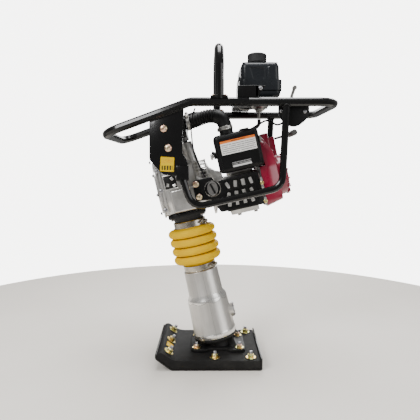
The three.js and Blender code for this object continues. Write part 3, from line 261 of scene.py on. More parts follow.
class Finish:
    """A material: one shader, its constant sockets, and the nodes that feed it."""

    slot = None  # the material slot that a piece with this finish belongs to

    def __init__(self, name, **constants):
        self.material = bpy.data.materials.new(name)
        self.material.use_nodes = True
        self.tree = self.material.node_tree
        self.shader = self.tree.nodes["Principled BSDF"]
        for socket, value in constants.items():
            self.shader.inputs[socket.replace("_", " ")].default_value = value

    def node(self, kind, sockets=None, out=0, **settings):
        """Adds a node, with its settings first and then its sockets."""
        made = self.tree.nodes.new(kind)
        for name, value in settings.items():
            setattr(made, name, value)
        for socket, value in (sockets or {}).items():
            self.feed(made.inputs[socket], value)
        return Wire(self, made.outputs[out])

    def feed(self, socket, value):
        """Links a wire to a socket, or sets the socket's value."""
        if isinstance(value, Wire):
            self.tree.links.new(value.socket, socket)
        elif hasattr(value, "__len__") and len(value) == 3 and socket.type == "RGBA":
            socket.default_value = (*value, 1)
        else:
            socket.default_value = value

    def set(self, **sockets):
        for socket, value in sockets.items():
            self.feed(self.shader.inputs[socket.replace("_", " ")], value)
        return self

    def place(self):
        """The point on the piece, in the ground's frame."""
        return self.node("ShaderNodeTexCoord", out=3)

    def leg_place(self):
        """The point on the piece, in the leg's frame."""
        back = LEG.inverted()
        sockets = {
            "Vector": self.place(),
            "Location": back.to_translation(),
            "Rotation": back.to_euler(),
        }
        return self.node("ShaderNodeMapping", sockets)

    def parts(self, vector):
        """The x, y and z of a vector."""
        made = self.node("ShaderNodeSeparateXYZ", {"Vector": vector}).socket.node
        return [Wire(self, out) for out in made.outputs]

    def stretch(self, vector, x, y, z):
        return self.node("ShaderNodeMapping", {"Vector": vector, "Scale": (x, y, z)})

    def noise(self, vector, scale, detail=3.0, roughness=0.55):
        sockets = {
            "Vector": vector,
            "Scale": scale,
            "Detail": detail,
            "Roughness": roughness,
        }
        return self.node("ShaderNodeTexNoise", sockets)

    def cells(self, vector, scale, out=0):
        sockets = {"Vector": vector, "Scale": scale}
        return self.node("ShaderNodeTexVoronoi", sockets, out=out)

    def mix(self, share, a, b):
        """Colour a where share is 0, colour b where it is 1."""
        sockets = {0: share, 6: a, 7: b}
        return self.node("ShaderNodeMix", sockets, out=2, data_type="RGBA")

    def bump(self, height, depth, strength=1.0):
        sockets = {"Height": height, "Distance": depth, "Strength": strength}
        return self.set(Normal=self.node("ShaderNodeBump", sockets))


print("the finish kit is ready")

# %% [markdown]
# Dust is the same on every painted part: pale, dry, lying in soft patches and
# thickest near the ground. It is one mask that any finish can ask for.

# %% Dust
DUST = (0.33, 0.31, 0.28)


def dusted(finish, colour, amount, reach=0.5):
    """The colour with pale dust on it, most where the machine is lowest."""
    spot = finish.place()
    height = finish.parts(spot)[2]
    patches = finish.noise(spot, 9, 5, 0.7).between(0.42, 0.78)
    low = 1 - height.between(0.0, reach)
    share = patches * (low * 0.75 + 0.25) * amount
    return finish.mix(share, colour, DUST), share


print("dust colour", DUST)

# %% [markdown]
# The tubes and plates are powder coated in gloss black. Powder melts into a skin
# with a faint orange peel, a ripple about two millimetres across, and it picks up
# hairline rubs where it is handled.

# %% Black paint
black_paint = Finish("black_paint", Coat_Roughness=0.08, IOR=1.35)
spot = black_paint.place()
peel = black_paint.noise(spot, 420, 2)
rubs = black_paint.noise(black_paint.stretch(spot, 40, 40, 9), 5, 6, 0.75)
tone, dust = dusted(black_paint, (0.0018, 0.0018, 0.002), 0.02)
black_paint.set(
    Base_Color=tone,
    Roughness=0.16 + rubs * 0.14 + dust * 0.8,
    Coat_Weight=0.25,
)
black_paint.bump(peel, 0.00012, 0.35)

black_cast = Finish("black_cast", IOR=1.4)
spot = black_cast.place()
grit = black_cast.noise(spot, 520, 4, 0.7)
hollows = black_cast.noise(spot, 60, 3)
tone, dust = dusted(black_cast, (0.0035, 0.0035, 0.0038), 0.05)
black_cast.set(Base_Color=tone, Roughness=0.36 + grit * 0.22 + dust)
black_cast.bump(grit * 0.7 + hollows, 0.0005, 0.55)
print("black paint on tube and on casting")

# %% [markdown]
# The shoe's board is a laminated block, dull and dark, with a fine grain along its
# length and chalky scuffs where boots and gravel have been.

# %% Board
board = Finish("board", IOR=1.3)
spot = board.place()
grain = board.noise(board.stretch(spot, 30, 700, 700), 1, 4, 0.6)
mottle = board.noise(spot, 22, 5, 0.7)
scuff = board.noise(board.stretch(spot, 18, 50, 18), 3, 6, 0.8).between(0.58, 0.74)
DARK_PLY, WORN_PLY = (0.0045, 0.0043, 0.0042), (0.008, 0.0078, 0.0076)
base = board.mix(mottle.between(0.3, 0.7), DARK_PLY, WORN_PLY)
base = board.mix(scuff * 0.3, base, (0.04, 0.039, 0.037))
tone, dust = dusted(board, base, 0.05, 0.1)
board.set(Base_Color=tone, Roughness=0.56 + mottle * 0.2)
board.bump(grain * 0.6 + mottle * 0.4, 0.0004, 0.5)
print("board")

# %% [markdown]
# The ram is a steel tube in satin silver paint. The machined flange at its foot is
# brighter than the tube, a seam runs down its side, and rain has left faint
# streaks along the leg, so the pattern is made in the leg's frame. Where the tube
# narrows, a scalloped band of painted highlight rings the shoulder, with a line of
# painted shade under its lower edge.

# %% Silver ram
silver = Finish("silver", IOR=1.5)
along = silver.leg_place()
x, y, z = silver.parts(along)
streaks = silver.noise(silver.stretch(along, 1, 1, 0.06), 130, 4, 0.7)
clouds = silver.noise(along, 14, 4, 0.6)
flange = (z < 0.0955) * 1.0
seam = ((x - 0.006).of("ABSOLUTE") < 0.0006) * (y < 0)
base = silver.mix(
    (streaks * 0.6 + clouds * 0.4).between(0.3, 0.7),
    (0.56, 0.54, 0.51),
    (0.70, 0.68, 0.64),
)
swing = y.math("ARCTAN2", y, x)
scallop = (swing * 4.0).of("SINE").of("ABSOLUTE")
# The shoulder where the ram narrows gets a painted highlight, and a line of painted shade
# runs under its scalloped lower edge.
shoulder_highlight = (z > scallop * -0.008 + 0.2085) * (z < 0.226)
edge = (z > scallop * -0.008 + 0.2065) * (1 - shoulder_highlight) * (z < 0.215)
base = silver.mix((flange + shoulder_highlight) * 0.8, base, (0.84, 0.83, 0.80))
base = silver.mix(edge * 0.5, base, (0.20, 0.19, 0.17))
base = silver.mix(seam * 0.45, base, (0.20, 0.19, 0.18))
silver.set(
    Base_Color=base,
    Metallic=0.8 + (flange + shoulder_highlight) * 0.15,
    Roughness=0.33 + streaks * 0.10 - (flange + shoulder_highlight) * 0.1,
)
silver.bump(silver.noise(along, 480, 3) + seam * -0.8, 0.0003, 0.3)
print("silver")

# %% [markdown]
# The crankcase and engine are bare cast aluminium: bright, sparkling where the
# sand left it rough, with grey oxide clouds and darker grime in the low places.

# %% Cast aluminium
aluminium = Finish("aluminium", IOR=1.5)
spot = aluminium.place()
sand = aluminium.noise(spot, 700, 4, 0.7)
oxide = aluminium.noise(spot, 16, 5, 0.65)
grime = aluminium.noise(spot, 34, 6, 0.75).between(0.56, 0.78)
base = aluminium.mix(oxide.between(0.3, 0.7), (0.72, 0.71, 0.69), (0.50, 0.49, 0.47))
base = aluminium.mix(grime * 0.5, base, (0.22, 0.21, 0.19))
aluminium.set(
    Base_Color=base,
    Metallic=0.85 - grime * 0.3,
    Roughness=0.24 + sand * 0.14 + grime * 0.2,
)
aluminium.bump(sand, 0.0003, 0.45)
print("aluminium")

# %% [markdown]
# Plain steel parts are turned or rolled, so their brightness runs in fine lines.

# %% Steel
steel = Finish("steel", IOR=1.5, Metallic=1.0)
spot = steel.place()
lines = steel.noise(steel.stretch(spot, 900, 900, 60), 1, 3)
tarnish = steel.noise(spot, 45, 5, 0.7)
base = steel.mix(tarnish.between(0.35, 0.75), (0.42, 0.41, 0.39), (0.22, 0.215, 0.20))
steel.set(Base_Color=base, Roughness=0.24 + lines * 0.16 + tarnish * 0.08)
steel.bump(lines, 0.00015, 0.4)
print("steel")

# %% [markdown]
# The bellows is moulded in yellow rubber. It is satin on the rolls, and the
# waists between the rolls are painted dark brown as shade, since little light
# reaches into them. How far a point is from the leg's axis says whether it is on
# a roll or in a waist.

# %% Yellow bellows rubber
yellow = Finish("yellow_rubber", IOR=1.3, Specular_IOR_Level=0.08)
along = yellow.leg_place()
x, y, z = yellow.parts(along)
radius = (x * x + y * y).of("SQRT")
# Painted shade: the waists between the rolls are darkened towards brown.
waist_shade = 1 - radius.between(0.062, 0.0765)
bloom = yellow.noise(along, 26, 5, 0.7)
base = yellow.mix(bloom.between(0.3, 0.75), (0.80, 0.51, 0.0), (0.74, 0.44, 0.0))
base = yellow.mix(waist_shade * (0.3 + bloom * 0.5), base, (0.30, 0.12, 0.0))
yellow.set(Base_Color=base, Roughness=0.36 + bloom * 0.16 + waist_shade * 0.2)
yellow.bump(yellow.noise(along, 650, 3), 0.00018, 0.35)
print("yellow rubber")

# %% [markdown]
# The fan cover is pressed steel in deep glossy crimson, under a clear coat.

# %% Crimson cover
crimson = Finish("crimson", Coat_Roughness=0.05, IOR=1.5)
spot = crimson.place()
wash = crimson.noise(spot, 12, 3)
base = crimson.mix(wash.between(0.3, 0.7), (0.27, 0.0, 0.028), (0.21, 0.0, 0.020))
crimson.set(Base_Color=base, Roughness=0.24 + wash * 0.08, Coat_Weight=0.5)
crimson.bump(crimson.noise(spot, 380, 2), 0.0001, 0.3)
print("crimson")

# %% [markdown]
# Moulded plastic has a leathery grain from its mould. The tank is smoother than
# the air box, so one maker takes the grain's size and the shine.

# %% Black plastic, rubber and grey plastic


def moulded(name, colour, roughness, grain, depth):
    """A moulded plastic or rubber with a pebbled grain."""
    made = Finish(name, IOR=1.32)
    spot = made.place()
    pebbles = made.cells(spot, grain)
    haze = made.noise(spot, 20, 5, 0.65)
    tone, dust = dusted(made, colour, 0.03)
    tone = made.mix(haze.between(0.35, 0.8) * 0.3, tone, [c * 1.8 for c in colour])
    made.set(Base_Color=tone, Roughness=roughness + haze * 0.14 + dust * 0.4)
    made.bump(pebbles, depth, 0.5)
    return made


black_plastic = moulded("black_plastic", (0.0025, 0.0025, 0.0027), 0.34, 900, 0.00016)
tank_plastic = moulded("tank_plastic", (0.015, 0.017, 0.02), 0.2, 500, 0.00008)
cap_plastic = moulded("cap_plastic", (0.036, 0.036, 0.037), 0.55, 500, 0.00012)
rubber = moulded("rubber", (0.0035, 0.0035, 0.0036), 0.44, 1100, 0.00012)
grip_grey = moulded("grip_grey", (0.09, 0.09, 0.088), 0.45, 800, 0.00014)
rim_grey = moulded("rim_grey", (0.16, 0.155, 0.15), 0.3, 700, 0.0001)
print("plastics")

# %% [markdown]
# The sight glass is a thick lens with amber oil behind its lower half.

# %% Sight glass
glass = Finish("sight_glass", Roughness=0.06, IOR=1.5, Coat_Weight=1.0)
x, y, z = glass.parts(glass.leg_place())
level = z.between(0.1465, 0.1478)
swirl = glass.noise(glass.place(), 60, 3)
oil = glass.mix(swirl, (0.30, 0.13, 0.015), (0.22, 0.08, 0.008))
glass.set(Base_Color=glass.mix(level, oil, (0.62, 0.66, 0.60)))
glass.bump(swirl, 0.0001, 0.2)
print("sight glass")

# %% [markdown]
# Each node of the frame names a material slot, and the finishes are handed out by
# that name. A finish also knows its slot.

# %% Hand out the finishes
BY_SLOT = {
    "black_paint": black_paint,
    "black_cast": black_cast,
    "board": board,
    "cast_grey": silver,
    "aluminium": aluminium,
    "steel": steel,
    "yellow_rubber": yellow,
    "red": crimson,
    "black_plastic": black_plastic,
    "rubber": rubber,
    "grey_plastic": grip_grey,
    "glass": glass,
}


def coat(obj, finish):
    """Gives every face of a piece one finish."""
    obj.data.materials.clear()
    obj.data.materials.append(finish.material)


for slot, finish in BY_SLOT.items():
    finish.slot = slot
tank_plastic.slot = cap_plastic.slot = "black_plastic"
rim_grey.slot = "grey_plastic"
for part in frame["record"]["subparts"]:
    coat(NODES[part["node"]], BY_SLOT[part["material_slot"]])
stone = Finish("pale_floor", Roughness=0.7)
mottle = stone.noise(stone.place(), 3, 4)
stone.set(Base_Color=stone.mix(mottle, (0.80, 0.76, 0.70), (0.73, 0.69, 0.63)))
coat(floor, stone)
print(len(BY_SLOT), "finishes on", len(NODES), "nodes")

# %% [markdown]
# Modelling goes as it would by hand: add a primitive, open it in edit mode, pick
# faces or corners by their place, and extrude, inset, bevel or spin them. These
# helpers say those steps in a word each.

# %% Tools for modelling


def alone(obj):
    """Selects one piece and nothing else."""
    clear()
    bpy.context.view_layer.objects.active = obj
    obj.select_set(True)


def opened(obj):
    """Puts a piece in edit mode, alone, with nothing in it picked."""
    alone(obj)
    bpy.ops.object.mode_set(mode="EDIT")
    bpy.ops.mesh.select_mode(type="VERT")
    bpy.ops.mesh.select_all(action="DESELECT")


def added(kind, name, **size):
    """A primitive of that kind, with nothing else selected."""
    clear()
    getattr(bpy.ops.mesh, f"primitive_{kind}_add")(**size)
    bpy.context.object.name = name
    return bpy.context.object


def pick(obj, test, kind="faces"):
    """In edit mode, picks the faces, edges or verts that pass the test."""
    modes = {"faces": "FACE", "edges": "EDGE", "verts": "VERT"}
    bpy.ops.mesh.select_mode(type=modes[kind])
    bpy.ops.mesh.select_all(action="DESELECT")
    shape = bmesh.from_edit_mesh(obj.data)
    found = [item for item in getattr(shape, kind) if test(item)]
    for item in found:
        item.select_set(True)
    shape.select_flush(True)
    bmesh.update_edit_mesh(obj.data)
    return len(found)


def facing(axis, sign=1):
    """A test for faces that look along an axis, or against it."""
    return lambda face: face.normal[axis] * sign > 0.9


def running(axis):
    """A test for edges that run along an axis."""
    return (
        lambda edge: abs((edge.verts[0].co - edge.verts[1].co).normalized()[axis]) > 0.9
    )


def all_picked():
    bpy.ops.mesh.select_all(action="SELECT")


def inset(thickness, depth=0.0, **settings):
    """Insets what is picked, in millimetres."""
    bpy.ops.mesh.inset(thickness=thickness * MM, depth=depth * MM, **settings)


def pushed(x, y, z):
    """Extrudes what is picked, by so many millimetres."""
    move = {"value": (x * MM, y * MM, z * MM)}
    bpy.ops.mesh.extrude_region_move(TRANSFORM_OT_translate=move)


def swollen(distance):
    """Extrudes what is picked along its normals, in millimetres."""
    move = {"value": distance * MM}
    bpy.ops.mesh.extrude_region_shrink_fatten(TRANSFORM_OT_shrink_fatten=move)


def moved(x, y, z):
    """Moves what is picked, by so many millimetres."""
    bpy.ops.transform.translate(value=(x * MM, y * MM, z * MM))


def raised(distance, grow=1.0):
    """Extrudes what is picked upwards, and scales its end."""
    pushed(0, 0, distance)
    bpy.ops.transform.resize(value=(grow, grow, 1))


def corners(obj, test, radius, segments):
    """Rounds the edges of an open piece that pass the test."""
    pick(obj, test, "edges")
    bpy.ops.mesh.bevel(offset=radius * MM, segments=segments)


def finished(obj, angle=35):
    """Merges doubles, points every face outwards and smooths the soft edges."""
    opened(obj)
    all_picked()
    bpy.ops.mesh.remove_doubles(threshold=1e-6)
    bpy.ops.mesh.normals_make_consistent(inside=False)
    clear()
    obj.select_set(True)
    bpy.ops.object.shade_smooth_by_angle(angle=math.radians(angle))
    return obj


def rounded(obj, width, segments=2, angle=None):
    """Bevels the sharp edges of a piece by a modifier, and applies it."""
    alone(obj)
    bevel = obj.modifiers.new("edges", "BEVEL")
    bevel.width = width * MM
    bevel.segments = segments
    bevel.limit_method = "ANGLE"
    if angle:
        bevel.angle_limit = math.radians(angle)
        bevel.use_clamp_overlap = False
    bpy.ops.object.modifier_apply(modifier="edges")
    return obj


def spun(name, profile, steps=32, ring=False):
    """Corners (radius, height), in millimetres, spun about the upright axis."""
    obj = added("plane", name, size=MM)
    opened(obj)
    all_picked()
    bpy.ops.mesh.merge(type="CENTER")
    spots = [Vector((r * MM, 0, z * MM)) for r, z in profile]
    bpy.ops.transform.translate(value=spots[0])
    for here, there in zip(spots, spots[1:]):
        step = {"value": there - here}
        bpy.ops.mesh.extrude_vertices_move(TRANSFORM_OT_translate=step)
    if ring:
        ends = (spots[0], spots[-1])
        pick(obj, lambda v: min((v.co - e).length for e in ends) < 1e-7, "verts")
        bpy.ops.mesh.edge_face_add()
    all_picked()
    bpy.ops.mesh.spin(steps=steps, angle=math.tau, center=(0, 0, 0), axis=(0, 0, 1))
    return finished(obj)


def block(name, low, high, soft=0.0):
    """A box between two corners in millimetres, with softened edges."""
    middle = [(a + b) / 2 * MM for a, b in zip(low, high)]
    size = [(b - a) * MM for a, b in zip(low, high)]
    obj = added("cube", name, size=1, location=middle, scale=size)
    bpy.ops.object.transform_apply(location=True, rotation=True, scale=True)
    if soft:
        rounded(obj, soft)
    return finished(obj)


def flanked(name, side, x, y, z, soft=0.0):
    """A box given by its three spans, for the side that y is counted towards."""
    low, high = zip(x, sorted((y[0] * side, y[1] * side)), z)
    return block(name, low, high, soft)


def hexagonal(name, foot, height, radius):
    """An upright six-sided bar on its foot, open and with its top picked."""
    middle = (0, 0, (foot + height / 2) * MM)
    size = {"radius": radius * MM, "depth": height * MM, "location": middle}
    obj = added("cylinder", name, vertices=6, **size)
    bpy.ops.object.transform_apply(location=True)
    opened(obj)
    pick(obj, facing(2))
    return obj


def at(point, axis=(0, 0, 1), turn=0.0, scale=1.0):
    """Where an upright part goes: its foot, its axis, its turn and its scale."""
    tilt = Vector(axis).to_track_quat("Z", "Y").to_matrix().to_4x4()
    spin = turned(turn, "Z")
    return Matrix.Translation(point) @ tilt @ spin @ Matrix.Scale(scale, 4)


def copied(obj, name):
    """A copy of a piece, with its own mesh."""
    alone(obj)
    bpy.ops.object.duplicate(linked=False)
    bpy.context.object.name = name
    return bpy.context.object


def joined(*parts):
    """One piece made of several, under the last one's name."""
    clear()
    for obj in parts:
        obj.select_set(True)
    bpy.context.view_layer.objects.active = parts[-1]
    bpy.ops.object.join()
    return bpy.context.object


def mounted(obj, finish, node=None, place=None, body="upper_body"):
    """Places and finishes a piece on its body; it may stand for a node."""
    if place:
        obj.data.transform(place)
    coat(obj, finish)
    if body:
        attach(obj, body)
    if node:
        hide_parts(node)
    return obj


patterns = set()


def put(pattern, name, place, finish, body="upper_body"):
    """A finished copy of a pattern, in its place and on its body."""
    patterns.add(pattern)
    return mounted(copied(pattern, name), finish, None, place, body)


LEG_UP = LEG.to_3x3() @ Vector((0, 0, 1))
LEG_BACK = LEG.to_3x3() @ Vector((1, 0, 0))
LEFT = Vector((0, -1, 0))
UP = Vector((0, 0, 1))
print("modelling tools ready")

# %% [markdown]
# Zinc plate on the fasteners is passivated, which leaves a thin film with colours
# like oil on water: straw yellow, with green and pink blushes. Two finishes cover
# it, and a third is the grey of the bolts' own steel.

# %% Zinc plate


def plated(name, tones, roughness):
    """Bright metal plate whose colour wanders between three tones."""
    made = Finish(name, Metallic=1.0, IOR=1.5)
    spot = made.place()
    drift = made.noise(spot, 75, 3)
    second = made.noise(spot, 160, 4)
    base = made.mix(drift.between(0.35, 0.62), tones[0], tones[1])
    base = made.mix(second.between(0.52, 0.72) * 0.7, base, tones[2])
    made.set(Base_Color=base, Roughness=roughness + second * 0.12)
    made.bump(made.noise(spot, 900, 3), 0.0001, 0.3)
    made.slot = "steel"
    return made


STRAW, GREENISH, PINKISH = (0.88, 0.62, 0.24), (0.62, 0.66, 0.30), (0.80, 0.46, 0.36)
yellow_zinc = plated("yellow_zinc", (STRAW, GREENISH, (0.78, 0.34, 0.14)), 0.22)
pink_zinc = plated("pink_zinc", (PINKISH, (0.72, 0.60, 0.40), GREENISH), 0.26)
bolt_grey = plated(
    "bolt_grey", ((0.42, 0.42, 0.43), (0.34, 0.34, 0.36), (0.26, 0.25, 0.24)), 0.3
)
band_steel = plated(
    "band_steel", ((0.46, 0.43, 0.37), (0.34, 0.31, 0.26), (0.60, 0.54, 0.42)), 0.18
)
print("zinc plate in two tints, and bare bolt steel")

# %% [markdown]
# A shoe bolt comes up through the board. It shows a broad washer, a lock nut with
# a rolled collar that grips the thread, and the bolt's own tip. The washer and
# the tip are turned shapes, so they are spun, and the nut starts as a six-sided
# cylinder whose top is inset and raised.

# %% Washer, lock nut and bolt tip
washer = spun(
    "washer",
    [(6.6, 0), (16.2, 0), (17, 0.6), (17, 1.9), (16.4, 2.4), (6.6, 2.4)],
    36,
    ring=True,
)
nut = hexagonal("nut", foot=2.4, height=9.2, radius=10.9)
inset(1.4)
raised(1.2, 0.96)
inset(0.7)
raised(1.8, 0.86)
inset(1.3)
raised(-0.9)
clear()
rounded(nut, 0.7)
finished(nut)
THREAD_RADIUS, THREAD_ROOT, PITCH, TIP_FOOT, TURNS = 6.0, 5.1, 1.6, 12.0, 6
thread = [(0, TIP_FOOT), (THREAD_ROOT, TIP_FOOT)]
for turn in range(TURNS):
    foot = TIP_FOOT + turn * PITCH
    thread += [(THREAD_RADIUS, foot + PITCH / 2), (THREAD_ROOT, foot + PITCH)]
tip_top = TIP_FOOT + TURNS * PITCH
thread += [(4.6, tip_top + 0.9), (3.2, tip_top + 1.4), (0, tip_top + 1.5)]
tip = spun("tip", thread, 24)
print("bolt stands", round(tip_top + 1.5, 1), "mm proud")

# %% [markdown]
# Eleven of these sets hold the shoe together: four through the board, three on
# the toe's slope, and four on the lugs of the black foot bracket. All of them
# ride with the ram.

# %% Bolts on the shoe
TOE_NORMAL = Vector((0.583, 0, 0.812)).normalized()
BOARD_TOP, TOE_TOP, LUG_TOP, TURN_STEP = 32.4, 46.4, 42.7, 17
shoe_bolts = [(x, y, BOARD_TOP, UP, 1.0) for x in (20, 137.5) for y in (-115, 115)]
shoe_bolts += [(-132, y, TOE_TOP, TOE_NORMAL, 1.0) for y in (-100, 0, 100)]
shoe_bolts += [(x, y, LUG_TOP, UP, 0.88) for x in (-41, 104) for y in (-57, 57)]
for number, (x, y, z, axis, scale) in enumerate(shoe_bolts, 1):
    where = at(ground(x, y, z), axis, TURN_STEP * number, scale)
    nut_finish = pink_zinc if z == LUG_TOP else yellow_zinc
    put(washer, f"shoe_washer_{number}", where, yellow_zinc, "ram")
    put(nut, f"shoe_nut_{number}", where, nut_finish, "ram")
    put(tip, f"shoe_bolt_tip_{number}", where, bolt_grey, "ram")
print(len(shoe_bolts), "bolt sets on the shoe")

# %% [markdown]
# The machine's other bolts have heads: a flanged hexagon on engine and castings,
# and a low button with a socket where the plates are held to the rubber mounts.

# %% Flange bolt and button bolt
hexagon = hexagonal("hexagon", foot=1.4, height=5.6, radius=6.9)
inset(1.1)
raised(0.5, 0.94)
inset(1.2)
raised(-0.6, 0.9)
clear()
rounded(hexagon, 0.45)
finished(hexagon)
flange = spun(
    "flange", [(0, -0.4), (9.2, -0.4), (9.6, 0.6), (8.6, 1.5), (6.4, 2.2), (0, 2.4)], 28
)
button = spun(
    "button",
    [(0, -0.3), (11.4, -0.3), (11.8, 0.8), (11, 2.6), (9, 4.6), (6.2, 5.9), (4.4, 6.3)]
    + [(3.7, 5.9), (3.5, 3.2), (0, 3.0)],
    28,
)


def hex_bolt(name, spot, axis, finish, turn=0.0, scale=1.0, body="upper_body"):
    """A flanged hexagon bolt: its head and its flange."""
    where = at(spot, axis, turn, scale)
    put(flange, f"{name}_flange", where, finish, body)
    put(hexagon, f"{name}_head", where, finish, body)


print("two kinds of bolt head")

# %% [markdown]
# Where each head sits is taken from the castings. The heads on the left also go
# on the right at the mirrored place, because the plates and mounts are the same.

# %% Bolts on plates, covers and engine
for side, word in SIDES:
    out = Vector((0, side, 0))
    for row, up in enumerate((726, 786), 1):
        spot = leg(-2, 165.2 * side, up)
        put(button, f"plate_bolt_{word}_{row}", at(spot, out), pink_zinc)
    for step, x in enumerate((14, 49), 1):
        foot = ground(x, 165 * side, 862.6)
        hex_bolt(f"hoop_foot_{word}_{step}", foot, (0, 0, 1), pink_zinc, 20 * step, 0.6)
    for row, up in enumerate((530, 592, 656, 700), 1):
        spot = leg(-77.4, 62 * side, up)
        hex_bolt(f"case_cover_{word}_{row}", spot, -LEG_BACK, bolt_grey, 9 * row, 0.62)
    for row, back in enumerate((-50, 50), 1):
        spot = leg(back, 50 * side, 501.6)
        hex_bolt(f"guide_flange_{word}_{row}", spot, -LEG_UP, bolt_grey, 15 * row, 0.85)
    for row, back in enumerate((-30, 20), 1):
        spot = leg(back, 70 * side, 812.1)
        hex_bolt(f"head_{word}_{row}", spot, LEG_UP, bolt_grey, 11 * row, 0.9)
for number, (back, up) in enumerate(((53.6, 599.5), (55.3, 559)), 1):
    spot = leg(back, -120.1, up)
    put(button, f"panel_bolt_{number}", at(spot, LEFT, 0, 0.86), pink_zinc)
for number, (x, z) in enumerate(((219.8, 819.9), (291.7, 818.4)), 1):
    spot = ground(x, -151.2, z)
    put(button, f"throttle_screw_{number}", at(spot, LEFT, 0, 0.5), bolt_grey)
for number, back in enumerate((170.5, 225), 1):
    for side in (-1, 1):
        spot = leg(back, 70 * side, 476)
        name = f"sump_{number}_{'l' if side < 0 else 'r'}"
        hex_bolt(name, spot, -LEG_UP, steel, 0, 0.95)
print("bolt heads placed")

# %% [markdown]
# The bellows keeps grit out of the leg. It is one rubber moulding: a cuff at each
# end under a clamp, and four fat rolls with tight waists between them. Its
# profile is a row of rounded rolls, tyre-like, and it is spun about the leg.

# %% Bellows
ROLLS, ROLL_PITCH, FIRST_ROLL = 4, 30.2, 355.0
ROLL_RADIUS, WAIST_RADIUS, CUFF_RADIUS = 81.0, 62.0, 53.4
CUFF_LOW, CUFF_HIGH, CUFF_LENGTH = 311.0, 484.0, 23.0
ROLL_STEPS, WALL = 14, 2.6


def roll_radius(height):
    """The bellows' outer radius at a height along the leg."""
    near = round((height - FIRST_ROLL) / ROLL_PITCH)
    off = min(1.0, abs(height - FIRST_ROLL - near * ROLL_PITCH) / (ROLL_PITCH / 2))
    return WAIST_RADIUS + (ROLL_RADIUS - WAIST_RADIUS) * (1 - off**2.3) ** 0.5


start = FIRST_ROLL - ROLL_PITCH / 2
heights = [start + ROLL_PITCH * n / ROLL_STEPS for n in range(ROLLS * ROLL_STEPS + 1)]
outer = [(CUFF_RADIUS, CUFF_LOW), (CUFF_RADIUS, CUFF_LOW + CUFF_LENGTH)]
outer += [(WAIST_RADIUS - 3, start - 2.5)]
outer += [(roll_radius(h), h) for h in heights]
outer += [(WAIST_RADIUS - 3, heights[-1] + 2.5)]
outer += [(CUFF_RADIUS, CUFF_HIGH - CUFF_LENGTH), (CUFF_RADIUS, CUFF_HIGH)]
inner = [(max(51.6, r - WALL), h) for r, h in reversed(outer)]
bellows = spun("bellows_rubber", outer + inner, 80, ring=True)
mounted(bellows, yellow, "bellows", LEG, body=None)
leg(0, 0, 460)
leg(0, 0, 335)
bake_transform(bellows)
print("bellows", len(bellows.data.polygons), "faces")

# %% [markdown]
# A hose or cable is a line with a thickness. A poly curve through close points
# has one radius per point, so the same maker draws a smooth cable and, with a
# radius that rises and falls, a corrugated hose.

# %% Hoses and cables


def smooth(points, step):
    """Close points on a soft curve through a few, in metres."""
    line = [points[0], *points, points[-1]]
    found = []
    for a, b, c, d in zip(line, line[1:], line[2:], line[3:]):
        count = max(2, round((c - b).length / (step * MM)))
        for n in range(count):
            t = n / count
            bend = (2 * a - 5 * b + 4 * c - d) * t * t
            twist = (3 * b - a - 3 * c + d) * t**3
            found.append(0.5 * (2 * b + (c - a) * t + bend + twist))
    return [*found, points[-1]]


def tube(name, points, radii, sides=6):
    """A round tube through the points, with a radius in millimetres for each."""
    data = bpy.data.curves.new(name, "CURVE")
    data.dimensions = "3D"
    data.bevel_depth = MM
    data.bevel_resolution = sides
    data.use_fill_caps = True
    line = data.splines.new("POLY")
    line.points.add(len(points) - 1)
    for spot, where, radius in zip(line.points, points, radii):
        spot.co = (*where, 1)
        spot.radius = radius
    obj = bpy.data.objects.new(name, data)
    bpy.context.scene.collection.objects.link(obj)
    alone(obj)
    bpy.ops.object.convert(target="MESH")
    return finished(bpy.context.object, 50)


def travelled(points):
    """How far along the line each point is, in millimetres."""
    gone = [0.0]
    for a, b in zip(points, points[1:]):
        gone.append(gone[-1] + (b - a).length / MM)
    return gone


INTAKE = [(183, -103, 741), (183, -103, 762), (177, -102, 781), (160, -99, 794)]
INTAKE += [(139, -93, 800), (109, -84, 799), (86, -74, 796), (66, -72, 795)]
intake = smooth([leg(*p) for p in INTAKE], 1.2)
gone = travelled(intake)
RIB_PITCH, RIB_DEPTH, RIB_RADIUS, RIBS_FROM, RIBS_TO = 8.2, 3.6, 22.5, 62.0, 172.0
radii = []
for way in gone:
    ribbed = RIBS_FROM < way < min(RIBS_TO, gone[-1] - 14)
    dip = 0.5 - 0.5 * math.cos(math.tau * (way - RIBS_FROM) / RIB_PITCH)
    radii.append(RIB_RADIUS - (RIB_DEPTH * dip if ribbed else 0.9))
mounted(tube("intake_hose_rubber", intake, radii, 14), rubber, "intake_hose")
print("intake hose", round(gone[-1]), "mm long")

# %% [markdown]
# Four thinner lines follow: fuel hose, stop wire, throttle cable, and the starter
# rope, which runs from its exit to the grip.

# %% Thin lines
FUEL = [(305, -8, 762), (300, -10, 746), (284, -20, 736), (266, -38, 732)]
FUEL += [(248, -56, 722), (231, -64, 704), (221, -64, 684)]
STOP = [(-42, -146, 828), (-50, -124, 806), (-55, -104, 768), (-49, -100, 712)]
STOP += [(-37, -108, 672), (-20, -118, 635), (-11, -121, 619)]
THROTTLE = [(225, -142, 785), (216, -134, 781), (208, -112, 784), (198, -88, 795)]
THROTTLE += [(182, -73, 799), (158, -71, 786), (130, -71, 770), (106, -71, 756)]
THROTTLE += [(91, -70, 736), (84, -67, 712)]
thin_lines = (
    ("fuel_hose", [leg(*p) for p in FUEL], 6.0),
    ("stop_wire", [ground(*p) for p in STOP], 2.2),
    ("throttle_cable", [ground(*p) for p in THROTTLE], 3.0),
)
for node, points, radius in thin_lines:
    path = smooth(points, 2.0)
    mounted(tube(f"{node}_line", path, [radius] * len(path)), rubber, node)
    print(node, round(travelled(path)[-1]), "mm")

# %% [markdown]
# The rope is braided: its finish winds two sets of strands around it.

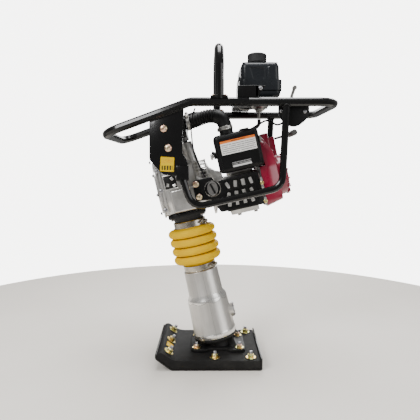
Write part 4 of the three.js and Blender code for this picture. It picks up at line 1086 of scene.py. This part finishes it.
# %% Starter rope
braid = Finish("rope_braid", IOR=1.45)
spot = braid.place()
wave = {"Vector": spot, "Scale": 260, "Distortion": 1.5}
first = braid.node("ShaderNodeTexWave", wave, out=1, bands_direction="DIAGONAL")
fuzz = braid.noise(spot, 800, 3)
base = braid.mix(first * 0.6 + fuzz * 0.3, (0.004, 0.004, 0.004), (0.022, 0.021, 0.02))
braid.set(Base_Color=base, Roughness=0.7 + fuzz * 0.2)
braid.bump(first, 0.0006, 0.7)
rope_low, rope_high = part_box("starter_rope")
ROPE_RADIUS, ROPE_RISE = 3.8, 3.82
rope_start = Vector((rope_low.x + 0.0012, 0, rope_low.z + ROPE_RISE * MM))
rope_end = Vector((rope_high.x - 0.0012, 0, rope_high.z - ROPE_RISE * MM))
path = smooth([rope_start, rope_start.lerp(rope_end, 0.5), rope_end], 1.5)
rope = tube("starter_rope_braid", path, [ROPE_RADIUS] * len(path))
mounted(rope, braid, "starter_rope", body=None)
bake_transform(rope)
print("rope", round(travelled(path)[-1]), "mm at rest")

# %% [markdown]
# Worm-drive clamps hold the intake hose at both ends. A clamp is a thin band with
# a rolled edge and a little housing for its screw, so it is a spun ring joined to
# a bevelled block and a bolt.

# %% Hose clamps
BAND_RADIUS = 23.3
band = spun(
    "band",
    [(22.2, -5), (BAND_RADIUS, -5.4), (BAND_RADIUS + 0.5, -4.6), (BAND_RADIUS, -3.9)]
    + [(BAND_RADIUS, 3.9), (BAND_RADIUS + 0.5, 4.6), (BAND_RADIUS, 5.4), (22.2, 5)],
    40,
    ring=True,
)
housing = block("housing", (-7, -BAND_RADIUS - 7.5, -5), (7, -BAND_RADIUS, 5), 1.2)
worm = spun(
    "worm",
    [(0, -9), (3.4, -9), (3.6, -8), (3.6, 11), (5.2, 11), (5.4, 11.6), (5.4, 15)]
    + [(4.6, 15.8), (0, 16)],
    20,
)
worm.data.transform(shift(0, -BAND_RADIUS - 4, 0) @ turned(90, "Y"))
band = joined(housing, worm, band)
put(band, "hose_clamp_low", at(leg(183, -103, 751), LEG_UP, -70), steel)
put(band, "hose_clamp_high", at(leg(72, -72.5, 795.3), -LEG_BACK, 150), steel)
print("hose clamps")

# %% [markdown]
# The frame's meshes are right in shape but their edges are razor sharp, which no
# casting or pressing is. A copy of each visible node is merged, its flat faces
# are joined, and its edges are softened by a bevel as wide as the real part has.
# The copy then stands for the node. Tubes only need their facets smoothed, and
# the two springs inside the leg are put on no body.

# %% Soften the frame's parts
record = frame["record"]
BODY_OF = {
    node: body for body, nodes in record["behaviour"]["bodies"].items() for node in nodes
}
# Each spring has the piston at one end and the ram at the other. The piston's end
# moves 0.738 as far as the ram; REACH spring lengths from the ram's end is where a
# blend giving that would start. The spring itself is left on no body.
SPRINGS = {"upper_spring": (221, 325), "lower_spring": (203, 101)}
REACH = 2.981


def softened(node, soft, angle=32):
    """A merged copy of a node, with softened edges, that stands for it."""
    made = copied(NODES[node], f"{node}_part")
    made.parent = None
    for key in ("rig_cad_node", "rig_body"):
        del made[key]
    opened(made)
    all_picked()
    bpy.ops.mesh.remove_doubles(threshold=2e-6)
    bpy.ops.mesh.dissolve_limited(angle_limit=math.radians(0.6))
    clear()
    if soft:
        rounded(made, soft, angle=angle)
    finished(made, angle)
    if node in SPRINGS:
        piston_end, ram_end = SPRINGS[node]
        start = ram_end + REACH * (piston_end - ram_end)
        leg(0, 0, start)
        leg(0, 0, ram_end)
        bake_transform(made)
    else:
        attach(made, BODY_OF[node])
    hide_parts(node)


SOFT_EDGES = {
    "handle_loop": 0, "lifting_hoop": 0, "guard_tube_left": 0, "guard_tube_right": 0,
    "ram_cylinder": 0.8, "gear_case": 1.2, "gear_case_cover": 1.0, "clutch_housing": 1.2,
    "guide_cylinder": 0.9, "foot_bracket": 1.2, "shoe_plate": 1.0, "shoe_board": 2.0,
    "engine_block": 1.0, "engine_barrel": 0.4, "rocker_cover": 2.0, "muffler": 1.5,
    "side_panel": 0.7, "fan_cover": 2.0, "recoil_housing": 1.2,
    "tank_bracket": 0.8, "side_plate_left": 0.9, "side_plate_right": 0.9,
    "air_filter_housing": 2.0, "throttle_housing": 1.2, "throttle_lever": 0.5,
    "fuel_tap": 0.4, "fuel_tap_lever": 0.4,
    "carburettor": 0.5, "choke_lever": 0.2, "spark_plug_cap": 0.8, "sight_glass": 0.5,
    "shock_mount_left_1": 0.8, "shock_mount_left_2": 0.8, "shock_mount_right_1": 0.8,
    "shock_mount_right_2": 0.8, "upper_spring": 0, "lower_spring": 0,
}
for node, soft in SOFT_EDGES.items():
    softened(node, soft)
print(len(SOFT_EDGES), "parts softened")

# %% [markdown]
# The air box is a moulded lid over a moulded tray. Its corners are generously
# round, a seam runs round its sides where lid meets tray, and the lid's face
# stands a little proud inside a shallow rim.

# %% Air box
BOX_LOW, BOX_HIGH, SEAM = (136.4, -130, 612.4), (278.6, -76, 732.6), -98.0
box_shell = block("air_box_shell", BOX_LOW, BOX_HIGH)


def in_seam(face):
    off = abs(face.calc_center_median().y - SEAM * MM)
    return off < 0.001 and abs(face.normal.y) < 0.5


opened(box_shell)
corners(box_shell, running(1), 13, 6)
pick(box_shell, facing(1, -1))
inset(6)
pushed(0, 1.6, 0)
inset(2.4)
pushed(0, -1.3, 0)
for cut in (SEAM - 1.1, SEAM + 1.1):
    all_picked()
    bpy.ops.mesh.bisect(plane_co=(0, cut * MM, 0), plane_no=(0, 1, 0))
pick(box_shell, in_seam)
swollen(-1.4)
clear()
rounded(box_shell, 2.6, 3)
finished(box_shell, 40)
neck = spun("neck", [(0, 0), (23, 0), (23, 2.5), (21.5, 4), (21.2, 15), (0, 15)], 32)
neck.data.transform(shift(183, -103, 731.5))
latch = block("latch", (224, -122, 731), (252, -84, 737), 1.6)
tab = block("tab", (128.5, -112, 663), (137.5, -94, 681), 1.5)
box_shell = joined(neck, latch, tab, box_shell)
mounted(box_shell, black_plastic, "air_box", LEG)
print("air box", len(box_shell.data.polygons), "faces")

# %% [markdown]
# Stickers are thin vinyl with round corners. What real ones say is left out: a
# plain band of orange and rows of grey dashes stand for lines of text, and bars
# for a figure. The rows come from a height modulo a pitch, and noise breaks them
# into lengths like words.

# %% Stickers


def sticker(name, width, height, place, finish, body="upper_body"):
    """A vinyl label facing -Y at the origin, moved to its place."""
    obj = block(name, (-width / 2, -0.45, -height / 2), (width / 2, 0, height / 2))
    opened(obj)
    corners(obj, running(1), 1.6, 4)
    pick(obj, facing(1, -1))
    inset(0.25)
    moved(0, -0.08, 0)
    clear()
    obj.data.transform(place)
    mounted(finished(obj), finish, body=body)


def print_rows(finish, across, up, pitch, share, length, seed):
    """A mask of printed rows: up is the height, across breaks rows into words."""
    rows = up * (1 / pitch)
    inside = rows.of("FRACT") < share
    spots = {0: across * (1 / length), 1: rows.of("FLOOR") * 3.7, 2: seed}
    words = finish.node("ShaderNodeCombineXYZ", spots)
    return inside * (finish.noise(words, 1, 2) > 0.40)


note = Finish("safety_note", IOR=1.5)
x, y, z = note.parts(note.leg_place())
edge = ((x > 0.157) * (x < 0.262)) * ((z > 0.6705) * (z < 0.7005))
rows = print_rows(note, x, z, 0.0060, 0.42, 0.0042, 1.0) * edge
band_mask = z > 0.7032
band_rows = print_rows(note, x, z + 0.0012, 0.0062, 0.45, 0.004, 5.0)
band_rows = band_rows * ((x > 0.19) * (x < 0.235)) * band_mask
WHITE, AGED_WHITE = (0.90, 0.89, 0.86), (0.80, 0.79, 0.76)
base = note.mix(note.noise(note.place(), 60, 3) * 0.5, WHITE, AGED_WHITE)
base = note.mix(rows * 0.8, base, (0.10, 0.10, 0.11))
base = note.mix(band_mask * 1.0, base, (0.80, 0.20, 0.03))
base = note.mix(band_rows * 0.8, base, (0.10, 0.03, 0.01))
note.set(Base_Color=base, Roughness=0.3 + rows * 0.1)
note.bump(note.noise(note.place(), 500, 2), 0.00005, 0.3)
NOTE_PLACE = LEG @ shift(209.5, -129.9, 689.5)
sticker("air_box_note", 111, 43, NOTE_PLACE, note)

maker = Finish("maker_strip", IOR=1.5)
x, y, z = maker.parts(maker.leg_place())
bar = z < 0.6315
rows = print_rows(maker, x, z, 0.0048, 0.5, 0.003, 2.0) * (1 - bar)
base = maker.mix(rows * 0.85, (0.015, 0.015, 0.016), (0.62, 0.62, 0.62))
base = maker.mix(bar * 1.0, base, (0.70, 0.70, 0.69))
maker.set(Base_Color=base, Metallic=rows * 0.6, Roughness=0.3 + bar * 0.15)
maker.bump(maker.noise(maker.place(), 500, 2), 0.00005, 0.3)
STRIP_PLACE = LEG @ shift(209, -129.9, 634.5)
sticker("air_box_strip", 60, 17, STRIP_PLACE, maker)

BAR_PITCH = 0.0085
weight = Finish("weight_mark", IOR=1.4, Specular_IOR_Level=0.25)
x, y, z = weight.parts(weight.place())
wide = (x > -0.143) * (x < -0.109)
bars = (z > 0.6415) * (z < 0.6550) * wide
gaps = (x * (1 / BAR_PITCH)).of("FRACT") < 0.68
faint = (z > 0.662) * (z < 0.675) * wide * (weight.noise(weight.place(), 260, 2) > 0.52)
fade = weight.noise(weight.place(), 70, 4)
base = weight.mix(fade, (0.76, 0.52, 0.0), (0.70, 0.46, 0.0))
base = weight.mix(faint * 0.55, base, (0.72, 0.22, 0.01))
base = weight.mix(bars * gaps * 0.92, base, (0.02, 0.02, 0.02))
weight.set(Base_Color=base, Roughness=0.34 + fade * 0.12)
weight.bump(weight.noise(weight.place(), 500, 2), 0.00005, 0.3)
WEIGHT_PLACE = shift(-126, -165.1, 659) @ turned(3, "Y")
sticker("weight_sticker", 42, 44, WEIGHT_PLACE, weight)

toe_mark = Finish("toe_mark", IOR=1.5)
wear = toe_mark.noise(toe_mark.place(), 90, 5, 0.7)
base = toe_mark.mix(wear.between(0.3, 0.7), (0.88, 0.60, 0.006), (0.80, 0.46, 0.006))
toe_mark.set(Base_Color=base, Roughness=0.36 + wear * 0.2)
toe_mark.bump(wear, 0.00008, 0.3)
SLOPE_UP = TOE_NORMAL.cross(Vector((0, -1, 0)))
TOE_PLACE = shift(-132.5, -46, 46.9) @ Matrix(
    [(0, -TOE_NORMAL.x, SLOPE_UP.x, 0), (-1, 0, 0, 0)]
    + [(0, -TOE_NORMAL.z, SLOPE_UP.z, 0), (0, 0, 0, 1)]
)
sticker("toe_sticker", 34, 25, TOE_PLACE, toe_mark, "ram")
print("stickers")

# %% [markdown]
# Tubes and plates are welded, and the bead shows through the paint as a row of
# overlapping ripples. A tube whose radius rises and falls draws it. Round a
# tube's foot the bead is a closed ring, and under the rail it follows the plate.

# %% Weld beads
BEAD_RADIUS, RIPPLE, RIPPLE_DEPTH, OUTERMOST = 2.3, 2.6, 0.5, 11.2


def bead(name, points):
    """A painted weld along close points."""
    ways = travelled(points)
    radii = [BEAD_RADIUS - RIPPLE_DEPTH * (w / RIPPLE % 1.0) for w in ways]
    mounted(tube(name, points, radii, 3), black_paint)


def round_foot(centre, radius, rail=0.0):
    """Points round a tube's foot; rail is the radius of a tube that it sits on."""
    found = []
    for n in range(97):
        turn = math.tau * n / 96 * 0.995
        x, y = radius * math.cos(turn), radius * math.sin(turn)
        y = max(-OUTERMOST, min(OUTERMOST, y))
        drop = rail - math.sqrt(rail * rail - y * y) if rail else 0
        found.append(centre + Vector((x * MM, y * MM, drop * MM)))
    return found


RAIL_SLOPE = 95 / 262
for side, word in SIDES:
    bead(f"hoop_weld_{word}", round_foot(ground(31.5, 165 * side, 863.2), 14.6))
    bead(f"guard_weld_{word}", round_foot(ground(233, 165 * side, 831.0), 11.4, 13.6))
    line = []
    for n in range(70):
        x = -177 + n * 1.45
        up = 845 + (x + 56) * RAIL_SLOPE - 13.8
        line.append(ground(x, 166.1 * side, up))
    bead(f"plate_weld_{word}", line)
print("weld beads")

# %% [markdown]
# The last small things on the engine: cast lugs where the fan cover is bolted on,
# the air box's knob and side catch, and a wire that guards the fuel tap.

# %% Lugs, knob, catch and guard wire
for name, low, high, bolt_up in (
    ("fan_lug_high", (253.6, -119, 541), (261.4, -97, 577), 559),
    ("fan_lug_low", (253.6, -113, 486), (261.4, -90, 512), 499),
):
    mounted(block(name, low, high, 1.8), aluminium, place=LEG)
    spot = leg(257.5, low[1] + 0.2, bolt_up)
    hex_bolt(f"{name}_bolt", spot, LEFT, yellow_zinc, 12, 0.62)
knob = spun(
    "knob",
    [(0, -1), (4.5, -1), (4.5, 3), (8.6, 3.6), (9.4, 5), (9.4, 9.5), (8.2, 11)]
    + [(3, 11.6), (0, 11.4)],
    14,
)
put(knob, "air_box_knob", at(leg(128.6, -103, 672), -LEG_BACK), aluminium)
catch = block("catch", (278.4, -126, 684), (282.4, -104, 706), 1.2)
mounted(catch, steel, place=LEG)
hex_bolt("catch_bolt", leg(282.3, -115, 695), LEG_BACK, bolt_grey, 0, 0.6)
GUARD_WIRE = [(84, -127, 860), (85, -128, 843), (100, -129, 828), (130, -129, 828)]
GUARD_WIRE += [(147, -128, 840), (150, -127, 860)]
path = smooth([ground(*p) for p in GUARD_WIRE], 2)
mounted(tube("tap_guard_wire", path, [1.7] * len(path)), steel)
funnel = spun("tap_funnel", [(0, 836), (8, 836), (12, 838), (29, 852), (29, 855), (0, 855)])
mounted(funnel, steel, place=shift(170, -8, 0))
print("small parts")

# %% [markdown]
# The guard tube's front end is welded to a thick tab on the plate's lowest lobe,
# one on each side. It is a block with generous corners.

# %% Plate tabs
for side, word in SIDES:
    tab = ((-99, -61), (156, 170), (607, 655), 3.5)
    plate_tab = flanked(f"plate_tab_{word}", side, *tab)
    mounted(plate_tab, black_paint)
print("tabs for both guard tubes")

# %% [markdown]
# The fuel tank is blown plastic in two halves that meet at a flange. The upper
# half narrows towards its top, its corners are as round as a loaf's, and each
# side has a sunk panel with one slanting edge, beside a raised rib. The faces are
# scored by planes first, and what lies between the cuts is then pushed in or out.

# %% Fuel tank


def flank(face):
    return abs(face.normal.y) > 0.85


def loaf(name, low, high, corner, soft=1.2, taper=None):
    """A box with big round upright corners; taper is its top's scale and shift."""
    obj = block(name, low, high)
    opened(obj)
    if taper:
        pick(obj, facing(2))
        bpy.ops.transform.resize(value=(taper[0], taper[1], 1))
        moved(taper[2], 0, 0)
    corners(obj, running(2), corner, 6)
    if taper:
        rim = (high[2] - 0.5) * MM
        corners(obj, lambda e: min(v.co.z for v in e.verts) > rim, 13, 5)
        sink_panel(obj)
    clear()
    return rounded(obj, soft)


PANEL_LOW, PANEL_HIGH, PANEL_REAR, RIB_FRONT, RIB_REAR = 917, 966, 178, 185, 193
SLANT_FOOT = ground(143, 0, 916)
SLANT = Vector((58, 0, 18)).normalized()


def sink_panel(obj):
    """Sinks a panel and raises a rib in both flanks of the tank."""
    across, up = Vector((1, 0, 0)), Vector((0, 0, 1))
    cuts = [(ground(x, 0, 0), across) for x in (PANEL_REAR, RIB_FRONT, RIB_REAR)]
    cuts += [(ground(0, 0, z), up) for z in (PANEL_LOW, PANEL_HIGH)]
    cuts += [(SLANT_FOOT, SLANT)]
    for spot, normal in cuts:
        pick(obj, flank)
        bpy.ops.mesh.bisect(plane_co=spot, plane_no=normal)

    def within(face, front, rear):
        x, _, z = face.calc_center_median() / MM
        return flank(face) and PANEL_LOW < z < PANEL_HIGH and front < x < rear

    def panel(face):
        behind = (face.calc_center_median() - SLANT_FOOT).dot(SLANT) > 0
        return behind and within(face, 0, PANEL_REAR)

    def rib(face):
        return within(face, RIB_FRONT, RIB_REAR)

    for test, depth, slope in ((panel, -4, 4.5), (rib, 3, 2.2)):
        pick(obj, test)
        inset(slope, depth)


TANK_AXIS = shift(161, 0, 0)
tank_parts = [
    loaf("tank_lower", (100, -92, 869.3), (229, 92, 907), 18, 3),
    loaf("tank_seam", (97.3, -95.8, 906), (231.8, 95.8, 912), 20),
    loaf("tank_bulge", (97.3, -30, 908), (120, 62, 948), 8, 4),
    spun(
        "tank_collar",
        [(0, 983), (30, 983), (27.5, 986), (25.5, 989), (25.5, 991), (0, 991)],
    ),
    loaf("tank_moulding", (102, -89, 910), (226, 89, 984), 17, 1.0, (0.97, 0.95, -1.5)),
]
tank_parts[3].data.transform(TANK_AXIS)
tank = finished(joined(*tank_parts), 40)
mounted(tank, tank_plastic, "fuel_tank")
for side, word in SIDES:
    web = ((140, 170), (165.2, 169), (861, 892.7))
    gusset = flanked(f"tank_ear_web_{word}", side, *web)
    opened(gusset)
    pick(gusset, lambda v: v.co.x > 0.16 and v.co.z < 0.87, "verts")
    moved(-22, 0, 0)
    clear()
    mounted(rounded(gusset, 0.8), black_paint)
    ear = ground(155, 169.1 * side, 885)
    hex_bolt(f"tank_ear_{word}", ear, (0, side, 0), bolt_grey, 10, 0.6)
print("tank", len(tank.data.polygons), "faces")

# %% [markdown]
# The fuel cap is turned in the hand, so every other face round its side is pushed
# in to make grip flutes. Its top is a shallow dome.

# %% Fuel cap
CAP_STEPS = 56
cap = spun(
    "cap_moulding",
    [(0, 991.5), (26, 991.5), (26, 997), (31.4, 998), (31.4, 1021), (30, 1024), (25, 1026)]
    + [(12, 1026.8), (0, 1027)],
    CAP_STEPS,
)
opened(cap)


def flute(face):
    middle = face.calc_center_median()
    turn = math.atan2(middle.y, middle.x) / math.tau * CAP_STEPS
    every_other = int(turn + CAP_STEPS) % 2 == 0
    return every_other and abs(face.normal.z) < 0.1 and 1.0 < middle.z < 1.02


pick(cap, flute)
inset(0.5, use_individual=True)
swollen(-0.9)
clear()
mounted(finished(cap, 50), cap_plastic, "fuel_cap", TANK_AXIS, body="tank_cap")
print("cap", len(cap.data.polygons), "faces")

# %% [markdown]
# The oil filler's cap is a disc with a tall oval rim, paler than the rest, and a
# blade across it that fingers turn.

# %% Oil filler cap
RIM_TURN, BLADE_TURN, OVAL = 0.16, 0.5, 0.72
cap_place = at(leg(102, -111.3, 575), LEFT)
oval = cap_place @ Matrix.Rotation(RIM_TURN, 4, "Z") @ Matrix.Diagonal((OVAL, 1, 1, 1))
oil_disc = spun(
    "oil_cap_disc",
    [(0, -21), (12, -21), (12, 0), (23.6, 0), (24, 1), (24, 6), (22.5, 7.4), (0, 7.4)],
)
mounted(oil_disc, black_plastic, "oil_filler_cap", cap_place, "oil_cap")
oil_rim = spun(
    "oil_cap_rim",
    [(17.5, 7), (23, 7), (23, 9.5), (21.5, 11.5), (19, 11.5), (17.5, 9.5)],
    40,
    ring=True,
)
mounted(oil_rim, rim_grey, place=oval, body="oil_cap")
oil_well = spun("oil_cap_well", [(0, 7), (17.8, 7), (17.8, 8.6), (10, 9.6), (0, 9.8)], 40)
mounted(oil_well, rim_grey, place=oval, body="oil_cap")
oil_blade = block("oil_cap_blade", (-3, -17, 7), (3, 17, 16), 1.6)
oil_blade.data.transform(cap_place @ Matrix.Rotation(BLADE_TURN, 4, "Z"))
mounted(oil_blade, black_plastic, body="oil_cap")
print("oil cap in four pieces")

# %% [markdown]
# Behind the panel's twelve openings lies a black block that stands for the shade
# inside them, with a bright raw boss in each. One boss is modelled, with a sunk
# middle, and copied with its own turn.

# %% Bosses behind the side panel
# The black block is painted shade: it darkens the openings as their depth would.
shade_block = block("panel_shade_block", (134, -114.4, 492), (252, -96.5, 596), 1)
mounted(shade_block, black_cast, place=LEG)
boss = block("boss", (-4.6, -2.4, -9), (4.6, 0, 9), 0.9)
opened(boss)
pick(boss, facing(1, -1))
inset(1.9)
pushed(0, 1.5, 0)
clear()
finished(boss)
CELL_ROWS, CELL_COLUMNS = 3, 4
for row in range(CELL_ROWS):
    for column in range(CELL_COLUMNS):
        number = row * CELL_COLUMNS + column
        height = 16 if row == 2 else 27
        middle = (150 + 25 * column - 3 * row, -114.2, 588 - 33 * row - height / 2)
        turn = turned((number * 37) % 50 - 25, "Y")
        wide, tall = 1.15 + 0.1 * (number % 3), 0.7 if row == 2 else 1.2
        where = LEG @ shift(*middle) @ turn @ Matrix.Diagonal((wide, 1, tall, 1))
        put(boss, f"panel_boss_{number + 1}", where, aluminium)
print(CELL_ROWS * CELL_COLUMNS, "bosses")

# %% [markdown]
# The crankcase side is a casting with more shape than its measured box: a swollen
# lower part that clears the big gear, a framed pocket whose floor is a thin black
# sheet of painted shade, and a stepped joint where the front cover is bolted on.

# %% Relief on the gear case
WALL_OUT = 74
STEPS = (((-59, -52.5), 5, (520, 708)), ((-69.5, -63), 3.5, (514, 714)))
LUMPS = ((-37, 616, 20), (-20, 634, -30), (-16, 611, 65))
for side, word in SIDES:
    span = (WALL_OUT - 2, WALL_OUT + 6.5)
    swell = flanked(f"case_swell_{word}", side, (-37, 52), span, (521, 596))
    opened(swell)
    corners(swell, lambda e: abs(e.verts[0].co.y + e.verts[1].co.y) > 156 * MM, 6, 5)
    clear()
    mounted(finished(swell), aluminium, place=LEG)
    span = (WALL_OUT - 1, WALL_OUT + 4)
    pocket = flanked(f"case_pocket_{word}", side, (-50, -4), span, (600, 648))
    opened(pocket)
    pick(pocket, facing(1, side))
    inset(3.2)
    pushed(0, -3.6 * side, 0)
    clear()
    rounded(pocket, 1.0)
    mounted(finished(pocket), aluminium, place=LEG)
    span = (WALL_OUT + 0.3, WALL_OUT + 0.9)
    # The pocket's floor is a thin black sheet: painted shade in the recess.
    pocket_shade = (f"case_pocket_shade_{word}", side, (-47, -7), span, (603, 645), 0.2)
    mounted(flanked(*pocket_shade), black_cast, place=LEG)
    for number, (x, z, turn) in enumerate(LUMPS, 1):
        where = LEG @ shift(x, (WALL_OUT + 2.6) * side, z) @ turned(turn, "Y")
        where = where @ Matrix.Diagonal((0.9, -side, 0.6, 1))
        finished(put(boss, f"pocket_lump_{word}_{number}", where, aluminium))
    for number, (x, proud, z) in enumerate(STEPS, 1):
        span = (WALL_OUT - 2, WALL_OUT + proud)
        step = flanked(f"case_step_{word}_{number}", side, x, span, z, 1.4)
        mounted(step, aluminium, place=LEG)
    out = (0, side, 0)
    for row, up in enumerate((538, 602, 668), 1):
        spot = leg(-62, (WALL_OUT + 4.4) * side, up)
        hex_bolt(f"case_side_{word}_{row}", spot, out, bolt_grey, 13 * row, 0.72)
print("gear case relief on both sides")

# %% [markdown]
# Thin cooling fins stand across the top of the clutch housing. One is modelled
# and copied up the slope.

# %% Clutch fins
fin = block("fin", (-19, -17, -1.5), (19, 17, 1.5), 0.6)
post = block("post", (-2, -15, -33), (2, 15, 33), 0.6)
for side, word in SIDES:
    for number in range(6):
        where = LEG @ shift(84 - number * 0.8, 78 * side, 612 + number * 11.5)
        put(fin, f"clutch_fin_{word}_{number + 1}", where, aluminium)
    for number, x in enumerate((72, 96), 1):
        where = LEG @ shift(x, 76 * side, 640)
        put(post, f"clutch_post_{word}_{number}", where, aluminium)
print("clutch fins")

# %% [markdown]
# Each end of the bellows is held by a wide band with a tee bolt: two folded ears,
# a bolt through them and a nut, all on the operator's side of the leg.

# %% Tee bolts on the bellows clamps
ears = [
    block(f"ear_{number}", (x - 2, -8, -6.5), (x + 2, 5, 6.5), 0.8)
    for number, x in enumerate((-9, 9))
]
thread = [(3.2 - 0.5 * (n % 2), -17 + 1.7 * n) for n in range(20)]
shank = spun("shank", [(0, -19), (2.6, -19), *thread, (3, 17), (0, 18)], 16)
shank.data.transform(shift(0, -4, 0) @ turned(90, "Y"))
collar = spun("collar", [(0, -3), (5.4, -3), (5.8, -2), (5.8, 2), (5.4, 3), (0, 3)], 6)
collar.data.transform(shift(14, -4, 0) @ turned(90, "Y"))
saddle = block("saddle", (-12, 2.5, -6.5), (12, 5, 6.5), 0.8)
tee_bolt = joined(*ears, shank, collar, saddle)
wide_band = spun(
    "wide_band",
    [(53.5, -10), (55, -10.4), (55.6, -9.6), (55, -8.8), (55, 8.8), (55.6, 9.6), (55, 10.4)]
    + [(53.5, 10)],
    72,
    ring=True,
)
TEE_TURN = math.radians(52)
for word, up, body in (("upper", 473, "upper_body"), ("lower", 322, "ram")):
    around = LEG @ shift(0, 0, up)
    held = put(wide_band, f"{word}_band", around, band_steel, body)
    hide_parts(f"{word}_bellows_clamp")
    where = LEG @ Matrix.Rotation(TEE_TURN, 4, "Z") @ shift(0, -57.5, up)
    put(tee_bolt, f"{word}_tee_bolt", where, band_steel, body)
print("tee bolts")

# %% [markdown]
# The sight glass sits in a bright turned ring, screwed into the ram's boss.

# %% Sight glass ring
ring_foot = leg(79.4, 0, 147)
glass_ring = spun(
    "glass_ring",
    [(15.5, -0.5), (24, -0.5), (24.4, 0.6), (23.4, 3.2), (19, 4), (15.5, 2.6)],
    40,
    ring=True,
)
mounted(glass_ring, bolt_grey, place=at(ring_foot, LEG_BACK), body="ram")
BOLT_CIRCLE, RING_FACE = 19.8, 3.2
for number in range(4):
    turn = math.radians(45 + 90 * number)
    across, up = BOLT_CIRCLE * math.cos(turn), BOLT_CIRCLE * math.sin(turn)
    spot = ring_foot + LEG.to_3x3() @ ground(RING_FACE, across, up)
    hex_bolt(f"glass_bolt_{number + 1}", spot, LEG_BACK, steel, 20 * number, 0.3, "ram")
print("sight glass ring")

# %% [markdown]
# The starter's grip is a soft bar that a hand closes on, with round ends, shallow
# rings along it and a tapered neck that the rope is knotted into.

# %% Starter grip
GRIP = (281, 0, 765)
profile = [(0, -50), (6, -50), (8.6, -49), (9.8, -46.5)]
for number in range(12):
    foot = -38.5 + number * 7
    if abs(foot) > 9:
        profile += [(9.9, foot - 1.4), (9.2, foot - 0.6)]
        profile += [(9.2, foot + 0.6), (9.9, foot + 1.4)]
profile += [(9.8, 46.5), (8.6, 49), (6, 50), (0, 50)]
grip_bar = spun("grip_bar", profile, 28)
grip_bar.data.transform(shift(*GRIP) @ turned(90, "X"))
grip_neck = spun(
    "starter_grip_moulding", [(0, 0), (8, 0), (7.4, 9), (5.6, 15.8), (0, 15.8)], 24
)
grip_neck.data.transform(at(ground(*GRIP), rope_start - rope_end))
grip = joined(grip_bar, grip_neck)
mounted(grip, grip_grey, "starter_grip", body="starter_handle")
print("starter grip", len(grip.data.polygons), "faces")

# %% [markdown]
# The recoil starter's cup is stiffened by short ribs round its rim, with a plain
# raised disc in the middle. They repeat about the crankshaft's axis.

# %% Recoil cup ribs
cup_rib = block("cup_rib", (-2.2, 54, -0.5), (2.2, 68.5, 10), 1.2)
CUP_RIBS = 14
for number in range(CUP_RIBS):
    where = at(leg(346.5, 0, 567), LEG_BACK, number * 360 / CUP_RIBS)
    put(cup_rib, f"recoil_rib_{number + 1}", where, crimson)
cup_disc = spun(
    "recoil_disc", [(0, -1), (32, -1), (32, 0.6), (29, 2.4), (27, 1.6), (0, 1.6)], 48
)
mounted(cup_disc, crimson, place=at(leg(355.9, 0, 567), LEG_BACK))
outlet = block("rope_outlet", (297, -14, 655), (321.5, 14, 713), 3)
mounted(outlet, crimson, place=LEG)
print(CUP_RIBS, "ribs")

# %% [markdown]
# The silencer is on the right, behind a pressed heat guard whose louvres are raised
# one by one, with a short outlet pipe. The block beside it is ribbed.

# %% Silencer guard and block ribs
guard = block("heat_guard", (161, 124.4, 607), (253, 127, 697), 0)
opened(guard)
corners(guard, running(1), 13, 5)
pick(guard, facing(1))
inset(5)
pushed(0, 3, 0)
clear()
mounted(finished(rounded(guard, 1.2)), steel, place=LEG)
louvre = block("louvre", (-30, 0, -3), (30, 4, 3), 0)
opened(louvre)
pick(louvre, lambda v: v.co.y > 0.003 and v.co.z > 0, "verts")
moved(0, -3.4, 0)
clear()
rounded(louvre, 0.6)
for number in range(6):
    where = LEG @ shift(207, 129.6, 622 + 12 * number)
    put(louvre, f"guard_louvre_{number + 1}", where, steel)
for number, (x, z) in enumerate(((168, 614), (246, 614), (168, 690), (246, 690)), 1):
    hex_bolt(f"guard_bolt_{number}", leg(x, 127.2, z), -LEFT, bolt_grey, 9 * number, 0.6)
outlet_pipe = spun(
    "outlet_pipe", [(8, -4), (10, -4), (10, 16), (9.4, 17), (8, 17)], 28, ring=True
)
mounted(outlet_pipe, band_steel, place=at(leg(172, 100, 604), -LEG_UP))
block_rib = block("block_rib", (-50, -1, -2), (50, 5, 2), 0.9)
for number in range(5):
    where = LEG @ shift(201, 95.5, 512 + 16 * number)
    put(block_rib, f"block_rib_{number + 1}", where, aluminium)
hex_bolt("drain_bolt", leg(160, 88.2, 484), (0, 1, 0), bolt_grey, 0, 0.9)
print("silencer guard")

# %% [markdown]
# The bolts, ribs and bands that only served to be copied are taken out, so that
# nothing but placed pieces is left.

# %% Put the patterns away
for obj in patterns:
    bpy.data.objects.remove(obj)
print(len(patterns), "patterns put away")

# %% [markdown]
# Last, the box round all the visible pieces is printed.

# %% Sizes and finish
low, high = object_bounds()
print("box", [round(v, 4) for v in low], [round(v, 4) for v in high])
